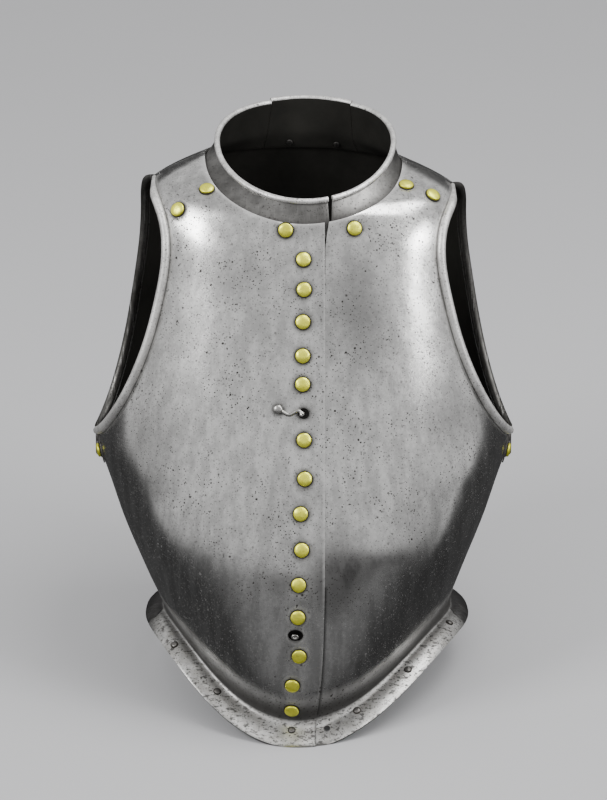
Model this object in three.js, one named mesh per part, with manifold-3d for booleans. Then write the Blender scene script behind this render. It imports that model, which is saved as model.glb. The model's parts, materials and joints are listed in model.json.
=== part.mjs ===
// A waistcoat cuirass: two front halves hinged to the backplate under the arms, closed down
// the front by a swivel hook, with a low collar in three pieces and brass-capped rivets.
// Millimetres. The worn frame has +X to the wearer's left, +Y to the back and +Z up; the
// whole object then leans back and stands on the lower edge of its flange.
import * as THREE from 'three';
import { mergeVertices } from 'three/addons/utils/BufferGeometryUtils.js';
import Module from 'manifold-3d';

const wasm = await Module();
wasm.setup();

// ---------------------------------------------------------------- driving dimensions
const leanDegrees = 12;
const restDrop = 39.8;
const depthShift = -22.8;

const frontThickness = 2.0;
const backThickness = 1.6;
const collarThickness = 1.5;
const seamGap = 0.7;
const fitGap = 0.3;
const lapGap = 0.6;
const lapEdge = -26;
const seamEdge = 17.2;
const seamDrift = 2.5;
const lapRamp = 26;
const lapTopLevel = 10.6;
const wedge = { low: 0.5, high: 3.6 };
// Two rows this close together make the step at the top of the lap.
const lapStep = 0.08;
const plateColumns = { right: [8, 3], left: [3, 2, 7], back: 18 };
const plateRows = { flange: 3, waist: 9, arm: 13, neck: 3 };

const armRollRadius = 3.6;
const armRollSides = 7;
// How far the roll's centre is moved out from the cut edge, as a share of its radius.
const armRollOffset = 0.8;
const rollStop = 84;
const rimRollRadius = 2.4;
const rimRollSides = 8;
const collarTuck = 13.6;
const tuckGap = 0.8;
const collarJoint = { right: -156.5, left: 147.5, gap: 0.35 };
const collarFront = { right: 14.2, left: 17 };

const capHead = { radius: 5.9, height: 2.9, sides: 10 };
const shankRadius = 1.6;
const tailRadius = 2.8;
const tailGap = 1.3;

const hookHoleRadius = 4.4;
const lowerHoleSize = { radius: 5, stretch: 1.26 };
const hingeAxis = { x: 174.2, y: 13.2, low: 218, high: 234 };
const hingeLevel = 5.6;
const hingeFrontAngle = 84.5;
const hingeBackAngle = 99.5;
const knuckleRadius = 2.3;
const pinRadius = 1.0;
const leafThickness = 1.2;
// The flat facets of the plates lie this far inside the true curve at the sides.
const sideSag = 1;
const leafRise = leafThickness + fitGap;

const shankHole = shankRadius + 2 * fitGap;
const studShank = 1.2;
const smallHead = { radius: 2.8, height: 1.3, sides: 8 };

// ---------------------------------------------------------------- the form of the body
// Each row is a level ring round the trunk, from the waist line up to the neck edge. The
// side, front and back of a ring lie at heights of their own, and the shape numbers say how
// square its front and back halves are (2 is an ellipse).
const ringColumns = [
  'halfWidth', 'sideHeight', 'front', 'frontHeight',
  'back', 'backHeight', 'frontShape', 'backShape',
];
const bodyRings = [
  [121.5, 87, 130, 26, 90, 80, 1.8, 2.25],
  [125.5, 102, 143, 49, 87.5, 102, 1.85, 2.25],
  [132.5, 120, 152.5, 80, 88, 124, 1.9, 2.25],
  [143, 146, 157, 118, 92, 152, 1.95, 2.25],
  [154.5, 176, 153, 160, 97, 184, 2.05, 2.3],
  [165, 208, 143, 205, 103, 218, 2.1, 2.3],
  [172, 243, 131, 252, 109, 255, 2.2, 2.35],
  [163.5, 300, 119, 298, 115, 300, 2.3, 2.4],
  [152.5, 350, 107.5, 342, 117, 345, 2.3, 2.45],
  [145, 392, 97, 380, 113, 388, 2.3, 2.4],
  [141, 426, 90, 402, 106, 420, 2.25, 2.35],
  [133, 449, 84.5, 414, 99, 444, 2.15, 2.25],
  [109, 466, 82.3, 423, 92, 465, 2.3, 2.1],
  [82, 477, 81, 430.5, 85, 484, 2.65, 2],
];
// The flange turns outwards below the waist line; its rows run from its edge up to it.
const flangeRings = [
  [138, 79, 150, 8, 118, 58, 1.84, 2.25],
  [133, 84, 143.5, 13.5, 108, 66, 1.82, 2.25],
  [127, 86.5, 136, 19.5, 98, 73.5, 1.8, 2.25],
  [121.5, 87, 130, 26, 90, 80, 1.8, 2.25],
];
const collarRim = { halfWidth: 75, front: 70.5, back: 76.5, height: 487, fall: 33.5, dip: 6 };
const ringCentre = 4;
const waistDrift = 4.3;
// The neck line falls away from the sides sooner than the rings below it, and the wearer's
// left shoulder sits lower.
const neckTurn = { from: 10.5, to: 13, share: 0.8 };
const lowShoulder = { from: 8, to: 11, drop: 6.5 };
const neckLevel = bodyRings.length - 1;
const edgeLevel = 1 - flangeRings.length;

// The arm holes are cut in the sides of the rings between two levels.
const armHole = { bottom: 5.9, middle: 8.4, top: 11.5, front: 34.5, back: 20 };
const armRound = { frontLow: 3, frontHigh: 2.4, back: 2.6 };
const sideSeam = { low: 93, high: 90 };

// ---------------------------------------------------------------- the surface
function naturalSpline(values, start) {
  const count = values.length;
  const bend = new Array(count).fill(0);
  const ratio = new Array(count).fill(0);
  for (let i = 1; i < count - 1; i++) {
    const pivot = 4 - ratio[i - 1];
    const jump = 6 * (values[i + 1] - 2 * values[i] + values[i - 1]);
    ratio[i] = 1 / pivot;
    bend[i] = (jump - bend[i - 1]) / pivot;
  }
  for (let i = count - 2; i > 0; i--) {
    bend[i] -= ratio[i] * bend[i + 1];
  }
  return (level) => {
    const i = Math.min(Math.max(Math.floor(level - start), 0), count - 2);
    const k = level - start - i;
    const slope = values[i + 1] - values[i] - (2 * bend[i] + bend[i + 1]) / 6;
    return values[i] + k * (slope + k * (bend[i] / 2 + k * (bend[i + 1] - bend[i]) / 6));
  };
}

function ringSplines(rows, start) {
  return ringColumns.map((name, column) => naturalSpline(rows.map((row) => row[column]), start));
}

const bodySplines = ringSplines(bodyRings, 0);
const flangeSplines = ringSplines(flangeRings, edgeLevel);

function ringAt(level) {
  const splines = level >= 0 ? bodySplines : flangeSplines;
  return Object.fromEntries(ringColumns.map((name, column) => [name, splines[column](level)]));
}

// One at the waist line and below, fading to nothing four rings above it.
function waistShare(level) {
  return Math.max(1 - Math.max(level, 0) / 4, 0) ** 2;
}

// Angle 0 is the middle of the front, 90 the wearer's left side and 180 the spine.
function surface(degrees, level) {
  const ring = ringAt(level);
  const share = waistShare(level);
  const angle = THREE.MathUtils.degToRad(degrees);
  const across = Math.sin(angle);
  const ahead = Math.cos(angle);
  const toFront = Math.max(ahead, 0);
  const toBack = Math.max(-ahead, 0);
  const isFront = ahead > 0;
  const depth = isFront ? ring.front + ringCentre : ring.back - ringCentre;
  const shape = isFront ? ring.frontShape : ring.backShape;
  const height = isFront ? ring.frontHeight : ring.backHeight;
  const turn = neckTurn.share * THREE.MathUtils.smoothstep(level, neckTurn.from, neckTurn.to);
  const blend = isFront ? 2.4 + 0.95 * share - turn : 2.4 - 0.4 * share;
  const sum = Math.abs(across / ring.halfWidth) ** shape + Math.abs(ahead / depth) ** shape;
  const radius = sum ** (-1 / shape);
  const aside = radius * across;
  const furrow = 5 * Math.exp(-((aside / 26) ** 2)) * toBack;
  const turned = THREE.MathUtils.radToDeg(Math.abs(Math.atan2(across, ahead)));
  const hipRise = 8 * share * Math.exp(-(((turned - 110) / 17) ** 2));
  const lowered = THREE.MathUtils.smoothstep(level, lowShoulder.from, lowShoulder.to)
    * lowShoulder.drop * Math.max(across, 0) ** 2;
  const spineRise = 11 * share * Math.exp(-((aside / 40) ** 2)) * toBack;
  return new THREE.Vector3(
    aside + share * (3 * across ** 2 - waistDrift * toFront ** 2),
    ringCentre - radius * ahead - furrow,
    ring.sideHeight + (height - ring.sideHeight) * Math.abs(ahead) ** blend
      + hipRise + spineRise - lowered,
  );
}

function outward(degrees, level) {
  const step = 0.02;
  if (level === 0) {
    return outward(degrees, step).add(outward(degrees, -step)).normalize();
  }
  const low = Math.max(level - step, level > 0 ? 0 : edgeLevel);
  const high = Math.min(level + step, level > 0 ? neckLevel : 0);
  const around = surface(degrees + 1, level).sub(surface(degrees - 1, level));
  const upward = surface(degrees, high).sub(surface(degrees, low));
  return around.cross(upward).normalize();
}

function skin(degrees, level, depth) {
  return surface(degrees, level).addScaledVector(outward(degrees, level), -depth);
}

// The angle and level on the front where the surface passes through a given x and height.
function findOnFront(x, height) {
  let degrees = THREE.MathUtils.radToDeg(Math.asin(x / 180));
  let level = 6;
  const step = 0.05;
  for (let pass = 0; pass < 60; pass++) {
    const here = surface(degrees, level);
    const turn = surface(degrees + step, level).sub(here).divideScalar(step);
    const rise = surface(degrees, level + step).sub(here).divideScalar(step);
    const missX = x - here.x;
    const missZ = height - here.z;
    const area = turn.x * rise.z - rise.x * turn.z;
    degrees += THREE.MathUtils.clamp((missX * rise.z - rise.x * missZ) / area, -8, 8);
    level += THREE.MathUtils.clamp((turn.x * missZ - missX * turn.z) / area, -0.8, 0.8);
    level = THREE.MathUtils.clamp(level, 0, neckLevel - step);
  }
  return { degrees, level };
}

function angleAtX(x, level) {
  let degrees = 0;
  for (let pass = 0; pass < 12; pass++) {
    const reach = ringAt(level).front + ringCentre;
    degrees += THREE.MathUtils.radToDeg((x - surface(degrees, level).x) / reach);
  }
  return degrees;
}

// ---------------------------------------------------------------- edges of the plates
function seamAngle(level) {
  const k = (level - armHole.bottom) / (armHole.top - armHole.bottom);
  return sideSeam.low + (sideSeam.high - sideSeam.low) * THREE.MathUtils.clamp(k, 0, 1);
}

function armCut(level, depth, low, high) {
  if (level <= armHole.bottom || level >= armHole.top) {
    return 0;
  }
  const above = level > armHole.middle;
  const span = above ? armHole.top - armHole.middle : armHole.middle - armHole.bottom;
  const k = Math.abs(level - armHole.middle) / span;
  return depth * Math.sqrt(1 - k ** (above ? high : low));
}

function frontSide(level) {
  return seamAngle(level) - armCut(level, armHole.front, armRound.frontLow, armRound.frontHigh);
}

function backSide(level) {
  return seamAngle(level) + armCut(level, armHole.back, armRound.back, armRound.back);
}

function gapAngle(level) {
  return THREE.MathUtils.radToDeg(seamGap / 2 / ringAt(level).halfWidth);
}

function centreSeam(level) {
  const share = waistShare(level);
  return seamEdge - (seamDrift + waistDrift) * share;
}

// Where the lap under the right front ends; near the neck it gives way to a narrow wedge.
function underEdge(level) {
  if (level <= lapTopLevel) {
    return lapEdge - waistDrift * waistShare(level);
  }
  const k = (level - lapTopLevel) / (neckLevel - lapTopLevel);
  return centreSeam(level) + wedge.low + (wedge.high - wedge.low) * k;
}

function lapSink(x, level) {
  const fade = 1 - THREE.MathUtils.smoothstep(level, lapTopLevel, lapTopLevel + 1);
  const ramp = 1 - THREE.MathUtils.smoothstep(x, centreSeam(level), centreSeam(level) + lapRamp);
  return (frontThickness + lapGap) * fade * ramp;
}

// ---------------------------------------------------------------- solids
function spread(count, from, to) {
  return Array.from({ length: count + 1 }, (item, i) => from + (to - from) * i / count);
}

function roundSpread(count, from, to) {
  return Array.from({ length: count + 1 }, (item, i) => {
    return from + (to - from) * (1 - Math.cos(Math.PI * i / count)) / 2;
  });
}

function toSolid(geometry) {
  const bare = geometry.clone();
  bare.deleteAttribute('normal');
  bare.deleteAttribute('uv');
  const merged = mergeVertices(bare, 1e-4);
  return new wasm.Manifold(new wasm.Mesh({
    numProp: 3,
    vertProperties: Float32Array.from(merged.attributes.position.array),
    triVerts: Uint32Array.from(merged.index.array),
  }));
}

function toGeometry(solid) {
  const mesh = solid.getMesh();
  const geometry = new THREE.BufferGeometry();
  geometry.setAttribute('position', new THREE.BufferAttribute(mesh.vertProperties, 3));
  geometry.setIndex(new THREE.BufferAttribute(mesh.triVerts, 1));
  return geometry;
}

function indexedGeometry(points, index) {
  const geometry = new THREE.BufferGeometry();
  const flat = points.flatMap((point) => point.toArray());
  geometry.setAttribute('position', new THREE.Float32BufferAttribute(flat, 3));
  geometry.setIndex(index);
  return geometry;
}

function gridNormals(grid) {
  return grid.map((row, i) => row.map((point, j) => {
    const across = row[Math.min(j + 1, row.length - 1)].clone().sub(row[Math.max(j - 1, 0)]);
    const upward = grid[Math.min(i + 1, grid.length - 1)][j].clone().sub(grid[Math.max(i - 1, 0)][j]);
    return across.cross(upward).normalize();
  }));
}

// A plate of even thickness under a grid of points, its rows going up and its columns round.
function plate(grid, thickness, normals = gridNormals(grid), sink = () => 0) {
  const rows = grid.length;
  const cols = grid[0].length;
  const points = [];
  for (const under of [0, thickness]) {
    for (let i = 0; i < rows; i++) {
      for (let j = 0; j < cols; j++) {
        points.push(grid[i][j].clone().addScaledVector(normals[i][j], -under - sink(i, j)));
      }
    }
  }
  const index = [];
  const quad = (a, b, c, d) => index.push(a, b, c, a, c, d);
  const inner = rows * cols;
  const at = (i, j) => i * cols + j;
  for (let i = 0; i < rows - 1; i++) {
    for (let j = 0; j < cols - 1; j++) {
      quad(at(i, j), at(i, j + 1), at(i + 1, j + 1), at(i + 1, j));
      quad(inner + at(i, j), inner + at(i + 1, j), inner + at(i + 1, j + 1), inner + at(i, j + 1));
    }
    quad(at(i, 0), at(i + 1, 0), inner + at(i + 1, 0), inner + at(i, 0));
    quad(at(i + 1, cols - 1), at(i, cols - 1), inner + at(i, cols - 1), inner + at(i + 1, cols - 1));
  }
  for (let j = 0; j < cols - 1; j++) {
    quad(at(0, j + 1), at(0, j), inner + at(0, j), inner + at(0, j + 1));
    quad(at(rows - 1, j), at(rows - 1, j + 1), inner + at(rows - 1, j + 1), inner + at(rows - 1, j));
  }
  return toSolid(indexedGeometry(points, index));
}

// A round bar along a path of { centre, across, proud, radius } frames.
function bar(frames, sides) {
  const points = [];
  const index = [];
  for (const frame of frames) {
    for (let k = 0; k < sides; k++) {
      const turn = 2 * Math.PI * k / sides;
      points.push(frame.centre.clone()
        .addScaledVector(frame.across, frame.radius * Math.cos(turn))
        .addScaledVector(frame.proud, frame.radius * Math.sin(turn)));
    }
  }
  for (let i = 0; i < frames.length - 1; i++) {
    for (let k = 0; k < sides; k++) {
      const a = i * sides + k;
      const b = i * sides + (k + 1) % sides;
      index.push(a, b, b + sides, a, b + sides, a + sides);
    }
  }
  const last = (frames.length - 1) * sides;
  for (let k = 1; k < sides - 1; k++) {
    index.push(0, k + 1, k, last, last + k, last + k + 1);
  }
  const solid = toSolid(indexedGeometry(points, index));
  if (solid.volume() > 0) {
    return solid;
  }
  for (let i = 0; i < index.length; i += 3) {
    [index[i + 1], index[i + 2]] = [index[i + 2], index[i + 1]];
  }
  return toSolid(indexedGeometry(points, index));
}

// The turned edge of an arm hole: a bar just outside the cut, standing proud of the plate.
function armRoll(side, cut, thickness, isFront) {
  const levels = roundSpread(22, armHole.top, armHole.bottom).filter((level) => {
    return isFront ? level > armHole.middle || cut(level) < rollStop : true;
  });
  const inset = isFront ? -3 : 3;
  const route = levels.map((level) => {
    return { level, degrees: side * (cut(level) + inset * gapAngle(level)) };
  });
  return bar(route.map(({ level, degrees }, i) => {
    const before = route[Math.max(i - 1, 0)];
    const after = route[Math.min(i + 1, route.length - 1)];
    const start = surface(before.degrees, before.level);
    const along = surface(after.degrees, after.level).sub(start).normalize();
    const proud = outward(degrees, level);
    const across = along.clone().cross(proud).normalize();
    const middle = surface(side * seamAngle(armHole.middle), armHole.middle);
    if (middle.sub(surface(degrees, level)).dot(across) < 0) {
      across.negate();
    }
    return {
      centre: surface(degrees, level)
        .addScaledVector(across, armRollRadius * armRollOffset)
        .addScaledVector(proud, armRollRadius - thickness),
      across,
      proud,
      radius: armRollRadius,
    };
  }), armRollSides);
}

// A straight round tool or bar along a direction.
function rod(centre, direction, radius, length, sides = 10, stretch = 1) {
  const shape = new THREE.CylinderGeometry(radius, radius, length, sides);
  shape.scale(stretch, 1, 1);
  const turn = new THREE.Quaternion().setFromUnitVectors(new THREE.Vector3(0, 1, 0), direction);
  shape.applyQuaternion(turn);
  shape.translate(centre.x, centre.y, centre.z);
  return toSolid(shape);
}

// The ground under the leaning object, as a block in the worn frame.
const stand = new THREE.Group();
stand.rotation.x = -THREE.MathUtils.degToRad(leanDegrees);
stand.position.set(0, depthShift, -restDrop);
stand.updateMatrixWorld(true);

function groundBlock() {
  const depth = 40;
  const block = new THREE.BoxGeometry(600, 600, depth);
  block.translate(0, 0, -depth / 2);
  block.applyMatrix4(stand.matrixWorld.clone().invert());
  return toSolid(block);
}

const ground = groundBlock();

// ---------------------------------------------------------------- rivets and where they sit
const buttons = [
  { x: 0, height: 402.7 }, { x: 0.4, height: 379.3 }, { x: -0.5, height: 354 },
  { x: -0.6, height: 327.4 }, { x: -0.7, height: 305.1 }, { x: 0.4, height: 261.4 },
  { x: 1, height: 231 }, { x: -2.3, height: 203.6 }, { x: -1.5, height: 175.2 },
  { x: -3.9, height: 147.3 }, { x: -4.5, height: 120.7 }, { x: -3.5, height: 87.2 },
  { x: -9.1, height: 60.5 }, { x: -9.6, height: 35.9 },
].map(({ x, height }) => findOnFront(x, height));

const capRivets = {
  collar_rivet_right: { degrees: -9.6, level: 12.19, grip: 'collar' },
  collar_rivet_left: { degrees: 26.5, level: 11.59, grip: 'collar' },
  neck_rivet_right: { degrees: -54.7, level: 12.56, grip: 'collar' },
  neck_rivet_left: { degrees: 62.7, level: 12.65, grip: 'collar' },
  shoulder_rivet_right: { degrees: -58.9, level: 10.82, grip: 'plate' },
  shoulder_rivet_left: { degrees: 66.4, level: 11.56, grip: 'plate' },
  hinge_rivet_right: { degrees: -hingeFrontAngle, level: hingeLevel, grip: 'leaf' },
  hinge_rivet_left: { degrees: hingeFrontAngle, level: hingeLevel, grip: 'leaf' },
  nape_rivet_right: { degrees: -172, level: 12.6, grip: 'nape' },
  nape_rivet_left: { degrees: 160, level: 12.6, grip: 'nape' },
};
const flangeRivets = {
  flange_rivet_1: { degrees: -54.8, level: -1.9 },
  flange_rivet_2: { degrees: -30.8, level: -1.4 },
  flange_rivet_3: { degrees: -2.2, level: -1.1, overLap: true },
  flange_rivet_4: { degrees: 20.4, level: -1.15 },
  flange_rivet_5: { degrees: 41.3, level: -1.6 },
  flange_rivet_6: { degrees: 69.6, level: -1.5 },
};
const flangeHole = { degrees: 9.6, level: -1.29, radius: 2.6 };
const hookPivot = findOnFront(-20.5, 285.5);
const hookHole = findOnFront(0.2, 282.3);
const lowerHole = findOnFront(-6.5, 105.2);
const upperStud = findOnFront(-1.6, 282.1);
const lowerStud = findOnFront(-7, 103.6);
function drill(spot, radius, { stretch = 1, reach = 12, sides = 6 } = {}) {
  const direction = outward(spot.degrees, spot.level);
  return rod(surface(spot.degrees, spot.level), direction, radius, reach, sides, stretch);
}

function shankHoles(...names) {
  return names.map((name) => drill(capRivets[name] ?? flangeRivets[name], shankHole));
}

// ---------------------------------------------------------------- plates

function plateLevels() {
  return [
    ...spread(plateRows.flange, edgeLevel, 0).slice(0, -1),
    ...spread(plateRows.waist, 0, armHole.bottom).slice(0, -1),
    ...roundSpread(plateRows.arm, armHole.bottom, armHole.top).slice(0, -1),
    ...spread(plateRows.neck, armHole.top, neckLevel),
  ].flatMap((level, i, all) => {
    const next = all[i + 1];
    const holdsLapTop = next !== undefined && level < lapTopLevel && next > lapTopLevel;
    return holdsLapTop ? [level, lapTopLevel, lapTopLevel + lapStep] : [level];
  });
}

// A plate that follows the body, from the angles of its columns at each level.
function bodyPlate(levels, angles, thickness, sink) {
  const grid = levels.map((level, i) => angles[i].map((degrees) => surface(degrees, level)));
  const normals = levels.map((level, i) => angles[i].map((degrees) => outward(degrees, level)));
  return plate(grid, thickness, normals, sink);
}

function joinAnchors(anchors, counts) {
  const angles = [anchors[0]];
  counts.forEach((count, k) => angles.push(...spread(count, anchors[k], anchors[k + 1]).slice(1)));
  return angles;
}

function rightFront() {
  const levels = plateLevels();
  const angles = levels.map((level) => joinAnchors([
    gapAngle(level) - frontSide(level),
    angleAtX(lapEdge - waistDrift * waistShare(level), level),
    angleAtX(centreSeam(level), level),
  ], plateColumns.right));
  const roll = armRoll(-1, frontSide, frontThickness, true);
  const solid = bodyPlate(levels, angles, frontThickness).add(roll);
  const cuts = [
    ...buttons.map((spot) => drill(spot, shankHole)),
    ...shankHoles('collar_rivet_right', 'neck_rivet_right', 'shoulder_rivet_right'),
    ...shankHoles('hinge_rivet_right', 'flange_rivet_1', 'flange_rivet_2', 'flange_rivet_3'),
    drill(hookPivot, shankHole),
    drill(hookHole, hookHoleRadius, { sides: 14 }),
    drill(lowerHole, lowerHoleSize.radius, { stretch: lowerHoleSize.stretch, sides: 14 }),
    ground,
  ];
  return cuts.reduce((left, cut) => left.subtract(cut), solid);
}

function leftFront() {
  const levels = plateLevels();
  const angles = levels.map((level) => {
    const seam = centreSeam(level);
    const under = underEdge(level);
    const lapTo = level <= lapTopLevel ? seam : under + 1;
    const anchors = [
      angleAtX(under, level),
      angleAtX(lapTo, level),
      angleAtX(seam + lapRamp, level),
      frontSide(level) - gapAngle(level),
    ];
    return joinAnchors(anchors, plateColumns.left);
  });
  const sink = (i, j) => lapSink(surface(angles[i][j], levels[i]).x, levels[i]);
  const roll = armRoll(1, frontSide, frontThickness, true);
  const solid = bodyPlate(levels, angles, frontThickness, sink).add(roll);
  const cuts = [
    ...shankHoles('collar_rivet_left', 'neck_rivet_left', 'shoulder_rivet_left'),
    ...shankHoles('hinge_rivet_left', 'flange_rivet_4', 'flange_rivet_5', 'flange_rivet_6'),
    drill(flangeHole, flangeHole.radius, { sides: 10 }),
    drill(upperStud, studShank + 2 * fitGap),
    drill(lowerStud, studShank + 2 * fitGap),
    ground,
  ];
  return cuts.reduce((left, cut) => left.subtract(cut), solid);
}

function backPlate() {
  const levels = plateLevels().filter((level) => level !== lapTopLevel + lapStep);
  const angles = levels.map((level) => {
    const start = backSide(level) + gapAngle(level);
    return spread(plateColumns.back, start, 360 - start);
  });
  let solid = bodyPlate(levels, angles, backThickness);
  for (const side of [-1, 1]) {
    solid = solid.add(armRoll(side, backSide, backThickness, false));
  }
  const cuts = [
    ...shankHoles('nape_rivet_right', 'nape_rivet_left'),
    drill({ degrees: -hingeBackAngle, level: hingeLevel }, shankHole),
    drill({ degrees: hingeBackAngle, level: hingeLevel }, shankHole),
    ground,
  ];
  return cuts.reduce((left, cut) => left.subtract(cut), solid);
}

// ---------------------------------------------------------------- collar
function levelBelowNeck(degrees, distance) {
  const step = 0.05;
  let level = neckLevel;
  let walked = 0;
  while (walked < distance && level > armHole.middle) {
    walked += surface(degrees, level).distanceTo(surface(degrees, level - step));
    level -= step;
  }
  return level;
}

function rimPoint(degrees) {
  const angle = THREE.MathUtils.degToRad(degrees);
  const ahead = Math.cos(angle);
  const depth = ahead > 0 ? collarRim.front + ringCentre : collarRim.back - ringCentre;
  const radius = 1 / Math.hypot(Math.sin(angle) / collarRim.halfWidth, ahead / depth);
  return new THREE.Vector3(
    radius * Math.sin(angle),
    ringCentre - radius * ahead,
    collarRim.height - collarRim.fall * ahead - collarRim.dip * ahead ** 2,
  );
}

function collarPiece(from, to, rivetNames) {
  const count = Math.max(Math.round((to - from) / 9), 4);
  const tuckDepth = frontThickness + tuckGap;
  const angles = spread(count, from, to);
  const foot = angles.map((degrees) => skin(degrees, levelBelowNeck(degrees, collarTuck), tuckDepth));
  const throat = angles.map((degrees) => skin(degrees, neckLevel - 0.02, tuckDepth));
  const rim = angles.map(rimPoint);
  const rise = (k, lift) => angles.map((degrees, j) => {
    return throat[j].clone().lerp(rim[j], k).add(new THREE.Vector3(0, 0, lift));
  });
  const strip = plate([foot, throat, rise(0.35, -0.6), rise(0.7, -0.4), rim], collarThickness);
  const solid = strip.add(bar(angles.map((degrees, j) => {
    const proud = new THREE.Vector3(rim[j].x, rim[j].y - ringCentre, 0).normalize();
    return {
      centre: rim[j].clone().addScaledVector(proud, rimRollRadius - collarThickness),
      across: new THREE.Vector3(0, 0, 1),
      proud,
      radius: rimRollRadius,
    };
  }), rimRollSides));
  const holes = rivetNames.map((name) => drill(capRivets[name], shankHole, { reach: 16 }));
  return holes.reduce((left, hole) => left.subtract(hole), solid);
}

// ---------------------------------------------------------------- rivets, studs and the hook
function turnedPart(profile, sides = 12) {
  return new THREE.LatheGeometry(profile.map(([radius, along]) => new THREE.Vector2(radius, along)), sides);
}

// A domed cap on a shank, with a clenched tail where there is room behind the plate.
function rivetGeometry({ radius, height, sides, lift, grip, tail }) {
  const base = fitGap + lift;
  const profile = [
    [0, base + height], [radius * 0.6, base + height * 0.8], [radius, base + height * 0.2],
    [radius, base], [shankRadius, base],
  ];
  if (tail) {
    const clench = -grip - tailGap;
    profile.push([shankRadius, clench], [tailRadius, clench]);
    profile.push([tailRadius * 0.7, clench - 1], [0, clench - 1.2]);
  } else {
    profile.push([shankRadius, -grip], [0, -grip]);
  }
  return turnedPart(profile.reverse(), sides);
}

const materials = {
  steel: new THREE.MeshStandardMaterial({ color: 0xb4b4b0, roughness: 0.32, metalness: 1 }),
  brass: new THREE.MeshStandardMaterial({ color: 0xcdbb4a, roughness: 0.3, metalness: 1 }),
  darkSteel: new THREE.MeshStandardMaterial({ color: 0x6e6c68, roughness: 0.5, metalness: 1 }),
};

const worn = new THREE.Group();

function addPart(name, geometry, material, spot) {
  const mesh = new THREE.Mesh(geometry, material);
  mesh.name = name;
  if (spot) {
    mesh.position.copy(surface(spot.degrees, spot.level));
    mesh.quaternion.setFromUnitVectors(new THREE.Vector3(0, 1, 0), outward(spot.degrees, spot.level));
  }
  worn.add(mesh);
  return mesh;
}

function addSolid(name, solid, material) {
  return addPart(name, toGeometry(solid), material);
}

addSolid('front_right', rightFront(), materials.steel);
addSolid('front_left', leftFront(), materials.steel);
addSolid('backplate', backPlate(), materials.steel);
addSolid('collar_right', collarPiece(collarJoint.right + collarJoint.gap, collarFront.right,
  ['collar_rivet_right', 'neck_rivet_right']), materials.steel);
addSolid('collar_left', collarPiece(collarFront.left, collarJoint.left - collarJoint.gap,
  ['collar_rivet_left', 'neck_rivet_left']), materials.steel);
addSolid('collar_back', collarPiece(collarJoint.left + collarJoint.gap,
  360 + collarJoint.right - collarJoint.gap, ['nape_rivet_right', 'nape_rivet_left']), materials.steel);

buttons.forEach((spot, i) => {
  const grip = frontThickness - 0.1;
  const cap = rivetGeometry({ ...capHead, lift: 0, grip, tail: false });
  addPart(`button_${String(i + 1).padStart(2, '0')}`, cap, materials.brass, spot);
});

const grips = {
  plate: { lift: 0, grip: frontThickness },
  collar: { lift: 0.2, grip: frontThickness + tuckGap + collarThickness },
  leaf: { lift: leafRise, grip: frontThickness + sideSag },
  nape: { lift: 0, grip: frontThickness + tuckGap + collarThickness },
};
for (const [name, spot] of Object.entries(capRivets)) {
  const cap = rivetGeometry({ ...capHead, tail: true, ...grips[spot.grip] });
  addPart(name, cap, materials.brass, spot);
}
for (const [name, spot] of Object.entries(flangeRivets)) {
  const grip = spot.overLap ? frontThickness - 0.1 : frontThickness;
  const head = rivetGeometry({ ...smallHead, lift: 0, grip, tail: !spot.overLap });
  addPart(name, head, materials.darkSteel, spot);
}

// The two pierced studs stand on the lap and show in the holes of the right front.
function studGeometry() {
  const lap = frontThickness + lapGap;
  const base = fitGap - lap;
  const top = -0.5;
  const clench = -lap - frontThickness - tailGap;
  return turnedPart([
    [0, clench - 1.1], [2.2, clench - 0.8], [2.4, clench], [studShank, clench],
    [studShank, base], [2.1, base], [2.1, top - 0.7], [1.5, top],
    [0.7, top], [0.7, top - 0.9], [0, top - 0.9],
  ]);
}

addPart('stud_upper', studGeometry(), materials.darkSteel, upperStud);
addPart('stud_lower', studGeometry(), materials.darkSteel, lowerStud);

// The hook lies in the plane that touches the plate at its pivot: a flat eye and a curved arm.
const hookArm = [
  [2.6, -1.3], [4.6, -2.6], [6.6, -3.9], [9.4, -4.5],
  [12.4, -3.1], [15.6, -1.4], [18.2, -2.2], [19.6, -4.2],
];
const hookEye = { outer: 3.3, inner: 1.9, low: 0.4, high: 1.7 };

function hookGeometry() {
  const eye = toSolid(turnedPart([
    [hookEye.inner, hookEye.low], [hookEye.outer, hookEye.low], [hookEye.outer, hookEye.high],
    [hookEye.inner, hookEye.high], [hookEye.inner, hookEye.low],
  ], 14));
  const path = hookArm.map(([x, y]) => new THREE.Vector3(x, 1.05, -y));
  const curve = new THREE.CatmullRomCurve3(path);
  const section = new THREE.Shape();
  section.absarc(0, 0, 0.9, 0, 2 * Math.PI);
  const arm = new THREE.ExtrudeGeometry(section, { steps: 14, curveSegments: 4, extrudePath: curve });
  return toGeometry(toSolid(arm).add(eye));
}

function placeOnPlate(mesh, spot) {
  const proud = outward(spot.degrees, spot.level);
  const across = new THREE.Vector3(1, 0, 0).addScaledVector(proud, -proud.x).normalize();
  const towards = across.clone().cross(proud);
  mesh.position.copy(surface(spot.degrees, spot.level));
  mesh.quaternion.setFromRotationMatrix(new THREE.Matrix4().makeBasis(across, proud, towards));
}

placeOnPlate(addPart('swivel_hook', hookGeometry(), materials.steel), hookPivot);
const pivotHead = turnedPart([
  [0, 0.1 - frontThickness], [shankRadius, 0.1 - frontThickness], [shankRadius, hookEye.high + fitGap],
  [3.1, hookEye.high + fitGap], [2.9, hookEye.high + 1.2], [1.6, hookEye.high + 2], [0, hookEye.high + 2.2],
]);
placeOnPlate(addPart('hook_rivet', pivotHead, materials.steel), hookPivot);

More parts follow.
